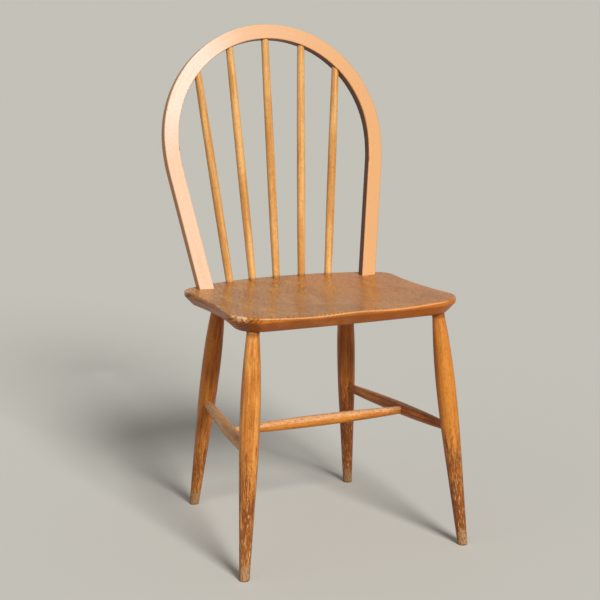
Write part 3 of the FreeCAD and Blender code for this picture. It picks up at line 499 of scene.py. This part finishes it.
class CHAIR_OT_turn_legs(bpy.types.Operator):
    """Turn the four splayed legs and stand them on the floor"""
    bl_idname = "chair.turn_legs"
    bl_label = "Turn Legs"

    def execute(self, context):
        sizes = context.scene.chair_legs
        tilt = context.scene.chair_back.seat_tilt
        colours = context.scene.chair_colours
        # Each leg's light and dark beech and how dirty it is low down; the rear legs' darker
        # colours are partly painted shade from the seat.
        wear = {
            "front_left_leg": (colours.leg_light, colours.leg_dark, 0.32),
            "front_right_leg": (colours.deep_light_and_shade, colours.leg_dark, 0.38),
            "rear_left_leg": (colours.deep_light_and_shade, colours.rear_dark_and_shade, 0.2),
            "rear_right_leg": (colours.deep_light_and_shade, colours.rear_dark_and_shade, 0.32),
        }
        for seed, (name, (side, end)) in enumerate(LEGS.items(), start=1):
            line = leg_line(sizes, side, end)
            slope = (line[1] - line[0]).length / sizes.rise
            underside = sizes.rise - line[1].y * math.tan(tilt)
            entry = underside * slope
            taper = (sizes.taper_radius - sizes.foot_radius) / sizes.taper_height

            def radius_at(station):
                height = station / slope
                if height < sizes.taper_height:
                    return sizes.foot_radius + taper * height
                if height < sizes.belly_height:
                    return belly(height, sizes.belly_height, sizes.belly_radius,
                                 sizes.taper_height, sizes.taper_radius)
                throat = underside - sizes.neck
                if height < throat:
                    return belly(height, sizes.belly_height, sizes.belly_radius,
                                 throat, sizes.tenon_radius)
                return sizes.tenon_radius

            after = entry + sizes.tenon_depth - (line[1] - line[0]).length
            leg = turning(name.replace("_leg", "_leg_turned"), line, radius_at, seed, after=after,
                          level_end=True, rounding=sizes.foot_rounding)
            dress(leg, name, beech_leg_finish(name, colours, sizes.rise, *wear[name]))
        return {"FINISHED"}


def stretcher_radius(run, tenon, end_radius, belly_radius, belly_share):
    """Radius of a stretcher at a distance from its start."""
    widest = run * belly_share

    def radius_at(station):
        if station < tenon or station > run - tenon:
            return end_radius
        end = tenon if station < widest else run - tenon
        return belly(station, widest, belly_radius, end, end_radius)

    return radius_at


def beech_stretcher_finish(name, colours, light, dark, rubbed):
    """Satin lacquered turned beech whose top is rubbed pale and dull by feet.

    rubbed is how far the wear reaches round from the top, from 0 to 1.
    """
    material, tree = new_material(f"satin_lacquered_turned_beech_{name}")
    place = grain_place(tree)
    normal = add(tree, "ShaderNodeNewGeometry").outputs["Normal"]
    facing_up = add(tree, "ShaderNodeSeparateXYZ", {0: normal}).outputs["Z"]
    wood, relief = beech(tree, place, light, dark, colours.leg_fleck, 0.5)
    blotches = figure(tree, place, (7, 7, 26), detail=4, roughness=0.7)
    worn = add(tree, "ShaderNodeMath", {0: blotches, 1: 1.6, 2: facing_up},
               operation="MULTIPLY_ADD")
    worn = add(tree, "ShaderNodeMapRange",
               {"Value": worn, "From Min": 1.4 - rubbed, "From Max": 1.8 - rubbed},
               interpolation_type="SMOOTHSTEP")
    wood = stained(tree, wood, worn, 0.7, colours.rubbed_wood)
    scratches = figure(tree, place, (1.5, 1.5, 6), limits=(0.52, 0.66))
    scored = add(tree, "ShaderNodeMath", {0: scratches, 1: worn}, operation="MULTIPLY")
    wood = stained(tree, wood, scored, 0.6, colours.grime_and_shade)
    roughness = add(tree, "ShaderNodeMath", {0: worn, 1: 0.3, 2: 0.34}, operation="MULTIPLY_ADD")
    close(tree, wood, roughness, relief, 0.2, IOR=1.38)
    return material


class CHAIR_OT_turn_stretchers(bpy.types.Operator):
    """Turn the side stretchers and the cross stretcher"""
    bl_idname = "chair.turn_stretchers"
    bl_label = "Turn Stretchers"

    def execute(self, context):
        sizes = context.scene.chair_stretchers
        colours = context.scene.chair_colours
        wear = {
            "left_stretcher": (colours.stick_light, colours.leg_dark, 0.15),
            "right_stretcher": (colours.red_light, colours.red_dark, -0.2),
            "cross_stretcher": (colours.deep_light_and_shade, colours.leg_dark, 0.4),
        }
        side = (sizes.side_tenon, sizes.side_end_radius, sizes.side_belly_radius,
                sizes.side_belly_share)
        cross = (sizes.cross_tenon, sizes.cross_end_radius, sizes.cross_belly_radius, 0.5)
        for seed, (name, line) in enumerate(stretcher_lines(context).items(), start=11):
            run = (line[1] - line[0]).length
            shape = cross if name == "cross_stretcher" else side
            piece = turning(f"{name}_turned", line, stretcher_radius(run, *shape), seed)
            dress(piece, name, beech_stretcher_finish(name, colours, *wear[name]))
        return {"FINISHED"}


STICKS = {
    "back_stick_far_left": (-2, -1, "outer_top"),
    "back_stick_left": (-1, -1, "inner_top"),
    "back_stick_middle": (0, 0, "inner_top"),
    "back_stick_right": (1, 1, "inner_top"),
    "back_stick_far_right": (2, 1, "outer_top"),
}


def stick_line(sizes, spaces, side, top_name):
    """Centre line of a stick from the seat's surface to the hoop's inner curve."""
    across = spaces * sizes.seat_spacing
    back = math.sqrt(sizes.row_radius ** 2 - across ** 2) - sizes.row_centre
    foot = Vector((across, back, sizes.seat_height - back * math.tan(sizes.seat_tilt)))
    top_across = side * getattr(sizes, top_name)
    inner = sizes.hoop_half_width - sizes.hoop_width
    up = sizes.hoop_centre + math.sqrt(inner ** 2 - top_across ** 2)
    middle = sizes.hoop_thickness / 2
    lean_sin, lean_cos = math.sin(sizes.hoop_lean), math.cos(sizes.hoop_lean)
    return foot, Vector((top_across, sizes.hoop_front + up * lean_sin + middle * lean_cos,
                         sizes.seat_height + up * lean_cos - middle * lean_sin))


def beech_stick_finish(colours, seat_top):
    """Satin lacquered turned beech in honey colour, straight grained, which catches the light."""
    material, tree = new_material("satin_lacquered_turned_beech_stick")
    spot = add(tree, "ShaderNodeTexCoord").outputs["Object"]
    height = add(tree, "ShaderNodeSeparateXYZ", {0: spot}).outputs["Z"]
    wood, relief = beech(tree, grain_place(tree), colours.stick_light, colours.stick_dark,
                         colours.leg_fleck, 0.35)
    # Darker just above the seat: dirt and painted contact shade.
    wood = dirt_and_contact_shade(tree, wood, height, seat_top + 0.004, seat_top - 0.001, colours.grime_and_shade)
    close(tree, wood, 0.3, relief, 0.05, IOR=1.55)
    return material


class CHAIR_OT_turn_sticks(bpy.types.Operator):
    """Turn the five sticks of the back and fan them out"""
    bl_idname = "chair.turn_sticks"
    bl_label = "Turn Sticks"

    def execute(self, context):
        sizes = context.scene.chair_back
        row_back = sizes.row_radius - sizes.row_centre
        seat_top = sizes.seat_height - row_back * math.tan(sizes.seat_tilt)
        material = beech_stick_finish(context.scene.chair_colours, seat_top)
        for seed, (name, layout) in enumerate(STICKS.items(), start=21):
            line = stick_line(sizes, *layout)
            run = (line[1] - line[0]).length
            widest = run * sizes.belly_share

            def radius_at(station):
                if station < sizes.neck:
                    return sizes.seat_radius
                if station < widest:
                    return belly(station, widest, sizes.belly_radius, sizes.neck,
                                 sizes.seat_radius)
                if station < run - sizes.neck:
                    return belly(station, widest, sizes.belly_radius, run - sizes.neck,
                                 sizes.top_radius)
                return sizes.top_radius

            piece = turning(f"{name}_turned", line, radius_at, seed, before=sizes.seat_depth,
                            after=sizes.hoop_depth)
            dress(piece, name, material)
        return {"FINISHED"}


# Hoop

def hoop_place(sizes, point):
    """Place in the hoop's own wood: across the face, front to back, and along the bend."""
    lean_sin, lean_cos = math.sin(sizes.hoop_lean), math.cos(sizes.hoop_lean)
    back, rise = point.y - sizes.hoop_front, point.z - sizes.seat_height
    up = back * lean_sin + rise * lean_cos
    depth = back * lean_cos - rise * lean_sin
    above = up - sizes.hoop_centre
    crown = sizes.hoop_half_width
    middle = crown - sizes.hoop_width / 2
    if above >= 0:
        turn = math.atan2(above, point.x)
        return Vector((math.hypot(point.x, above), depth, middle * (math.pi / 2 - turn)))
    side = 1 if point.x >= 0 else -1
    x, shoulder = side * point.x - (crown - sizes.hoop_shoulder), sizes.hoop_shoulder
    turn = math.atan2(-above, x)
    quarter = middle * math.pi / 2
    bend = shoulder - sizes.hoop_width / 2
    angle = sizes.hoop_limb_angle
    if turn <= angle:
        out = math.hypot(x, above) - shoulder + crown
        return Vector((out, depth, side * (quarter + bend * turn)))
    out = x * math.cos(angle) - above * math.sin(angle) - shoulder + crown
    down = -x * math.sin(angle) - above * math.cos(angle)
    return Vector((out, depth, side * (quarter + bend * angle + down)))


def beech_hoop_finish(colours, middle):
    """Steam bent beech, its front rubbed pale through the lacquer that its sides still have.

    Backs and hands have worn the front to a dry, silky peach; it is paler on the left and palest at
    the left shoulder, which is also a painted sheen.  middle is the radius of the hoop's centre
    line in its own wood.
    """
    material, tree = new_material("worn_lacquered_bent_beech")
    place = grain_place(tree)
    wood_parts = add(tree, "ShaderNodeSeparateXYZ", {0: place}).outputs
    # Paler towards the left and palest at the left shoulder: worn wood and a painted sheen.
    to_right = add(tree, "ShaderNodeMapRange",
                   {"Value": wood_parts["Z"], "From Min": -0.35, "From Max": 0.25},
                   interpolation_type="SMOOTHSTEP")
    rubbed = add(tree, "ShaderNodeMix", {0: to_right, 6: colours.hoop_cream_sheen,
                                         7: colours.hoop_peach}, data_type="RGBA")
    off_shoulder = add(tree, "ShaderNodeMath", {0: wood_parts["Z"], 1: 0.19}, operation="ADD")
    off_shoulder = add(tree, "ShaderNodeMath", {0: off_shoulder}, operation="ABSOLUTE")
    sheen_at_shoulder = add(tree, "ShaderNodeMapRange",
                      {"Value": off_shoulder, "From Min": 0.16, "From Max": 0.04},
                      interpolation_type="SMOOTHSTEP")
    rubbed = stained(tree, rubbed, sheen_at_shoulder, 1.0, colours.hoop_pale_sheen)
    streaks = figure(tree, place, (3, 3, 150), detail=3, limits=(0.5, 0.75))
    wood = stained(tree, rubbed, streaks, 0.3, colours.hoop_dark)
    specks = figure(tree, place, (1.2, 1.2, 5), limits=(0.5, 0.66))
    wood = stained(tree, wood, specks, 0.28, colours.hoop_fleck)
    # Inner side darker than the outer side and back: old lacquer and painted shade.
    outward = add(tree, "ShaderNodeMapRange",
                  {"Value": wood_parts["X"], "From Min": middle - 4 * MM,
                   "From Max": middle + 4 * MM})
    side = add(tree, "ShaderNodeMix", {0: outward, 6: colours.hoop_inside_shade, 7: colours.hoop_side},
               data_type="RGBA")
    ragged = add(tree, "ShaderNodeMath",
                 {0: figure(tree, place, (3, 3, 14), detail=3), 1: 1.5 * MM,
                  2: wood_parts["Y"]}, operation="MULTIPLY_ADD")
    lacquered = add(tree, "ShaderNodeMapRange",
                    {"Value": ragged, "From Min": 1.6 * MM, "From Max": 3 * MM},
                    interpolation_type="SMOOTHSTEP")
    wood = add(tree, "ShaderNodeMix", {0: lacquered, 6: wood, 7: side}, data_type="RGBA")
    close(tree, wood, 0.42, streaks, 0.1, IOR=1.4)
    return material


class CHAIR_OT_finish_hoop(bpy.types.Operator):
    """Copy the bent hoop, with its tenons, and let the grain of the copy follow the bend"""
    bl_idname = "chair.finish_hoop"
    bl_label = "Finish Hoop"

    def execute(self, context):
        sizes = context.scene.chair_back
        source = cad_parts["back_hoop"]
        data = source.data.copy()
        data.materials.clear()
        wood = data.attributes.new("wood", "FLOAT_VECTOR", "POINT")
        for vertex in data.vertices:
            wood.data[vertex.index].vector = hoop_place(sizes, vertex.co)
        hoop = bpy.data.objects.new("back_hoop_bent", data)
        context.scene.collection.objects.link(hoop)
        middle = sizes.hoop_half_width - sizes.hoop_width / 2
        dress(hoop, "back_hoop", beech_hoop_finish(context.scene.chair_colours, middle))
        return {"FINISHED"}


# Seat

# Place of the pith that each board grew round, its orange cast, and how strongly its rings
# and its pores show.
BOARDS = {
    "seat_board_left": ((-0.33, 0, 0.60), 0.0, 1.3, 0.85),
    "seat_board_centre": ((-0.21, 0, 0.59), 0.0, 1.0, 0.7),
    "seat_board_right": ((0.20, 0, 0.26), 0.35, 0.3, 0.45),
}
RING_WIDTH = 5 * MM
# Direction that the seat's front arris faces, where legs rub it and where its pale line is also a
# painted highlight.
ARRIS_HIGHLIGHT_FACING = (0, -0.89, 0.45)


def elm_finish(name, colours, pith, warmth, hatching, porosity):
    """Satin lacquered elm board: curved growth rings, open pores, and wear at its corners.

    The lacquer gives a low gloss, in which the sticks are mirrored dimly.  Real pores are
    0.3 mm wide, too fine to show, so they are drawn 1.5 mm wide, with the short pale waves
    between them.  At an edge they are cut across and show less, and the rings show more.
    The underside has little lacquer and has gone dark and dull.
    """
    material, tree = new_material(f"satin_lacquered_elm_{name}")
    place = add(tree, "ShaderNodeTexCoord").outputs["Object"]
    drift = add(tree, "ShaderNodeVectorMath",
                {0: figure(tree, place, (190, 280, 110)).outputs["Color"], 1: (0.05, 0, 0.03),
                 2: place}, operation="MULTIPLY_ADD")
    offset = add(tree, "ShaderNodeVectorMath", {0: drift, 1: pith}, operation="SUBTRACT")
    radial = add(tree, "ShaderNodeVectorMath", {0: offset, 1: (1, 0.05, 1)}, operation="MULTIPLY")
    reach = add(tree, "ShaderNodeVectorMath", {0: radial}, operation="LENGTH").outputs["Value"]
    rings = add(tree, "ShaderNodeMath", {0: reach, 1: 1 / RING_WIDTH}, operation="MULTIPLY")
    phase = add(tree, "ShaderNodeMath", {0: rings}, operation="FRACT")
    late = add(tree, "ShaderNodeMapRange", {"Value": phase, "From Min": 0.3, "From Max": 0.9},
               interpolation_type="SMOOTHSTEP")
    early = add(tree, "ShaderNodeMapRange", {"Value": phase, "From Min": 0.55, "From Max": 0.15},
                interpolation_type="SMOOTHSTEP")
    fibres = figure(tree, place, (1.6, 60, 1.6), detail=3)
    clouds = figure(tree, place, (45, 90, 45), detail=3)
    patches = figure(tree, place, (25, 60, 25), limits=(0.35, 0.55))
    hatched = add(tree, "ShaderNodeMath", {0: late, 1: patches}, operation="MULTIPLY")
    tone = add(tree, "ShaderNodeMath", {0: hatched, 1: hatching, 2: fibres},
               operation="MULTIPLY_ADD")
    tone = add(tree, "ShaderNodeMath", {0: clouds, 1: 0.9, 2: tone}, operation="MULTIPLY_ADD")
    darkness = add(tree, "ShaderNodeMapRange", {"Value": tone, "From Min": 0.7, "From Max": 1.5},
                   interpolation_type="SMOOTHSTEP")
    wood = add(tree, "ShaderNodeMix", {0: darkness, 6: colours.elm_light, 7: colours.elm_dark},
               data_type="RGBA")
    wood = stained(tree, wood, warmth, 1.0, colours.elm_warm)
    normal = add(tree, "ShaderNodeNewGeometry").outputs["Normal"]
    facing_up = add(tree, "ShaderNodeSeparateXYZ", {0: normal}).outputs["Z"]
    edge = add(tree, "ShaderNodeMapRange", {"Value": facing_up, "From Min": 0.5, "From Max": 0.0})
    wood = stained(tree, wood, edge, 0.5, colours.elm_warm)
    sawn = add(tree, "ShaderNodeMath", {0: hatched, 1: edge}, operation="MULTIPLY")
    wood = stained(tree, wood, sawn, 0.45 * hatching, colours.elm_pore)
    lengthwise = add(tree, "ShaderNodeMath", {0: edge, 1: -0.75, 2: 1.0},
                     operation="MULTIPLY_ADD")
    waves = figure(tree, place, (2, 7, 2), detail=1, limits=(0.52, 0.66))
    waves = add(tree, "ShaderNodeMath", {0: waves, 1: lengthwise}, operation="MULTIPLY")
    wood = stained(tree, wood, waves, 0.6, colours.elm_glint)
    dashes = figure(tree, place, (1.5, 9, 1.5), limits=(0.51, 0.62))
    porous = add(tree, "ShaderNodeMath", {0: early, 1: 0.5, 2: 0.4}, operation="MULTIPLY_ADD")
    pores = add(tree, "ShaderNodeMath", {0: dashes, 1: porous}, operation="MULTIPLY")
    pores = add(tree, "ShaderNodeMath", {0: pores, 1: lengthwise}, operation="MULTIPLY")
    wood = stained(tree, wood, pores, porosity, colours.elm_pore)
    # Dark patches on the seat's edge: dirt and painted shade.
    shade_and_dirt = knocked(tree, place, SHADED_AND_SOILED_PLACES)
    shade_and_dirt = add(tree, "ShaderNodeMath", {0: shade_and_dirt, 1: edge}, operation="MULTIPLY")
    wood = stained(tree, wood, shade_and_dirt, 0.4, colours.elm_pore)
    # Pale line along the front arris, facing forward and up: rubbed wood and a painted highlight.
    facing_arris_highlight = add(tree, "ShaderNodeVectorMath", {0: normal, 1: ARRIS_HIGHLIGHT_FACING},
                       operation="DOT_PRODUCT").outputs["Value"]
    rubbed = add(tree, "ShaderNodeMapRange",
                 {"Value": facing_arris_highlight, "From Min": 0.92, "From Max": 0.99})
    wood = stained(tree, wood, rubbed, 0.45, colours.elm_rubbed_highlight)
    wood = stained(tree, wood, knocked(tree, place, WORN_PLACES), 0.85, colours.elm_worn)
    under = add(tree, "ShaderNodeMapRange",
                {"Value": facing_up, "From Min": -0.9, "From Max": -0.99})
    wood = stained(tree, wood, under, 0.75, colours.elm_under)
    dull = add(tree, "ShaderNodeMath", {0: pores, 1: 0.15, 2: 0.26}, operation="MULTIPLY_ADD")
    dull = add(tree, "ShaderNodeMath", {0: edge, 1: 0.05, 2: dull}, operation="MULTIPLY_ADD")
    dull = add(tree, "ShaderNodeMath", {0: under, 1: 0.4, 2: dull}, operation="MULTIPLY_ADD")
    relief = add(tree, "ShaderNodeMath", {0: fibres, 1: 0.3}, operation="MULTIPLY")
    relief = add(tree, "ShaderNodeMath", {0: relief, 1: pores}, operation="SUBTRACT")
    close(tree, wood, dull, relief, 0.2, IOR=1.33)
    return material


# Places on the seat's arris where the lacquer is knocked off, and how far it is gone there.
WORN_PLACES = {
    (-0.2026, -0.1638, 0.4391): 5.5 * MM,
    (-0.1982, -0.1750, 0.4386): 7.5 * MM,
    (-0.1924, -0.1823, 0.4388): 6.5 * MM,
    (-0.2026, 0.0745, 0.4320): 6 * MM,
}


# Dirt and painted shade below those places, on the seat's edge.
SHADED_AND_SOILED_PLACES = {
    (-0.1900, -0.1860, 0.4200): 26 * MM,
    (-0.1980, 0.0700, 0.4250): 14 * MM,
}


def knocked(tree, place, places):
    """Ragged mask of some places, each with how far it reaches."""
    ragged = figure(tree, place, (3, 3, 3), detail=3)
    worn = 0.0
    for spot, extent in places.items():
        away = add(tree, "ShaderNodeVectorMath", {0: place, 1: spot}, operation="DISTANCE")
        reach = add(tree, "ShaderNodeMath", {0: ragged, 1: 0.02, 2: away.outputs["Value"]},
                    operation="MULTIPLY_ADD")
        patch = add(tree, "ShaderNodeMapRange",
                    {"Value": reach, "From Min": extent + 0.01, "From Max": extent + 0.006},
                    interpolation_type="SMOOTHSTEP")
        worn = add(tree, "ShaderNodeMath", {0: patch, 1: worn}, operation="MAXIMUM")
    return worn


class CHAIR_OT_finish_seat(bpy.types.Operator):
    """Give the seat's three elm boards their figure and lacquer"""
    bl_idname = "chair.finish_seat"
    bl_label = "Finish Seat"

    def execute(self, context):
        colours = context.scene.chair_colours
        for name, growth in BOARDS.items():
            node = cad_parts[name]
            node.data.materials.clear()
            node.data.materials.append(elm_finish(name, colours, *growth))
        return {"FINISHED"}


class CHAIR_OT_finish_wedges(bpy.types.Operator):
    """Give the two wedges under the hoop's tenons their bare beech"""
    bl_idname = "chair.finish_wedges"
    bl_label = "Finish Wedges"

    def execute(self, context):
        colours = context.scene.chair_colours
        material, tree = new_material("bare_beech_wedge")
        place = add(tree, "ShaderNodeTexCoord").outputs["Object"]
        wood, relief = beech(tree, place, colours.stick_light, colours.stick_dark,
                             colours.leg_fleck, 0.4)
        close(tree, wood, 0.6, relief, 0.1)
        for name in ("hoop_wedge_left", "hoop_wedge_right"):
            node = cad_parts[name]
            node.data.materials.clear()
            node.data.materials.append(material)
        return {"FINISHED"}


# Stage

class CHAIR_OT_set_stage(bpy.types.Operator):
    """Lay the floor, set the soft light and place the camera"""
    bl_idname = "chair.set_stage"
    bl_label = "Set Stage"

    def execute(self, context):
        colours = context.scene.chair_colours
        lay_floor(context, colours)
        light_room(context, colours)
        place_camera(context)
        context.scene.view_settings.view_transform = "Standard"
        return {"FINISHED"}


# So wide that its edge lies on the horizon.
FLOOR_RADIUS = 200


def lay_floor(context, colours):
    """Wide plain floor, pale to the eye, that throws up only a little warm light."""
    mesh = bmesh.new()
    bmesh.ops.create_circle(mesh, cap_ends=True, radius=FLOOR_RADIUS, segments=96)
    data = bpy.data.meshes.new("floor")
    mesh.to_mesh(data)
    mesh.free()
    floor = bpy.data.objects.new("floor", data)
    context.scene.collection.objects.link(floor)
    material, tree = new_material("matt_painted_floor")
    tone = add(tree, "ShaderNodeMix", {0: seen_directly(tree), 6: colours.floor_bounce,
                                       7: colours.floor}, data_type="RGBA")
    shader = add(tree, "ShaderNodeBsdfDiffuse", {"Color": tone})
    add(tree, "ShaderNodeOutputMaterial", {"Surface": shader})
    data.materials.append(material)


def seen_directly(tree):
    """1 for what the eye sees, also in a gloss or through glass, and 0 for thrown light."""
    rays = add(tree, "ShaderNodeLightPath").outputs
    mirrored = add(tree, "ShaderNodeMath",
                   {0: rays["Is Glossy Ray"], 1: rays["Is Transmission Ray"]},
                   operation="MAXIMUM")
    return add(tree, "ShaderNodeMath", {0: rays["Is Camera Ray"], 1: mirrored},
               operation="MAXIMUM")


# Direction towards each lamp, its strength, and its breadth in degrees.
LAMPS = {
    "key": ((0.06, -0.99, 0.64), 3.1, 18),
    "fill": ((-0.9, -0.35, 0.4), 0.25, 60),
}
ROOM_LIGHT = 0.2


def light_room(context, colours):
    """Soft key light from the front, a weak fill from the left, and even room light."""
    world = bpy.data.worlds.new("room")
    context.scene.world = world
    world.use_nodes = True
    tree = world.node_tree
    tree.nodes.clear()
    room = add(tree, "ShaderNodeBackground", {"Color": (1, 1, 1), "Strength": ROOM_LIGHT})
    shown = add(tree, "ShaderNodeBackground", {"Color": colours.backdrop, "Strength": 1.0})
    mixed = add(tree, "ShaderNodeMixShader", {0: seen_directly(tree), 1: room, 2: shown})
    add(tree, "ShaderNodeOutputWorld", {"Surface": mixed})
    for name, (direction, strength, spread) in LAMPS.items():
        light = bpy.data.lights.new(name, "SUN")
        light.energy = strength
        light.angle = math.radians(spread)
        lamp = bpy.data.objects.new(name, light)
        lamp.rotation_euler = Vector(direction).to_track_quat("Z", "Y").to_euler()
        context.scene.collection.objects.link(lamp)


# Point that the camera looks at, its angles round and above that point, how far it stands
# off, in metres, and its lens and film, in millimetres.
VIEW_TARGET = Vector((0, 0.0374, 0.4075))
VIEW_BEARING = math.radians(-23.24)
VIEW_RISE = math.radians(12.37)
VIEW_DISTANCE = 2.6922
LENS = 90
FILM_WIDTH = 36


def place_camera(context):
    """Camera at the photo's place: left of the front and a little higher than the hoop."""
    camera = bpy.data.cameras.new("camera")
    camera.lens = LENS
    camera.sensor_width = FILM_WIDTH
    holder = bpy.data.objects.new("camera", camera)
    level = math.cos(VIEW_RISE)
    back = Vector((math.sin(VIEW_BEARING) * level, -math.cos(VIEW_BEARING) * level,
                   math.sin(VIEW_RISE)))
    holder.location = VIEW_TARGET + back * VIEW_DISTANCE
    holder.rotation_euler = back.to_track_quat("Z", "Y").to_euler()
    context.scene.collection.objects.link(holder)
    context.scene.camera = holder


OPERATORS = [
    CHAIR_OT_turn_legs,
    CHAIR_OT_turn_stretchers,
    CHAIR_OT_turn_sticks,
    CHAIR_OT_finish_hoop,
    CHAIR_OT_finish_seat,
    CHAIR_OT_finish_wedges,
    CHAIR_OT_set_stage,
]


class CHAIR_PT_panel(bpy.types.Panel):
    """Steps that make and finish the chair"""
    bl_idname = "CHAIR_PT_panel"
    bl_label = "Chair"
    bl_space_type = "VIEW_3D"
    bl_region_type = "UI"
    bl_category = "Chair"

    def draw(self, context):
        for operator in OPERATORS:
            self.layout.operator(operator.bl_idname)


def register():
    """Register the classes and hang the sizes and colours on the scene."""
    for cls in (*GROUPS.values(), *OPERATORS, CHAIR_PT_panel):
        bpy.utils.register_class(cls)
    for name, group in GROUPS.items():
        setattr(bpy.types.Scene, name, PointerProperty(type=group))


def unregister():
    """Take the classes off again."""
    for name in GROUPS:
        delattr(bpy.types.Scene, name)
    for cls in reversed((*GROUPS.values(), *OPERATORS, CHAIR_PT_panel)):
        bpy.utils.unregister_class(cls)


def main():
    """Make the chair, step by step."""
    register()
    for operator in OPERATORS:
        family, step = operator.bl_idname.split(".")
        getattr(getattr(bpy.ops, family), step)()


if __name__ == "__main__":
    main()
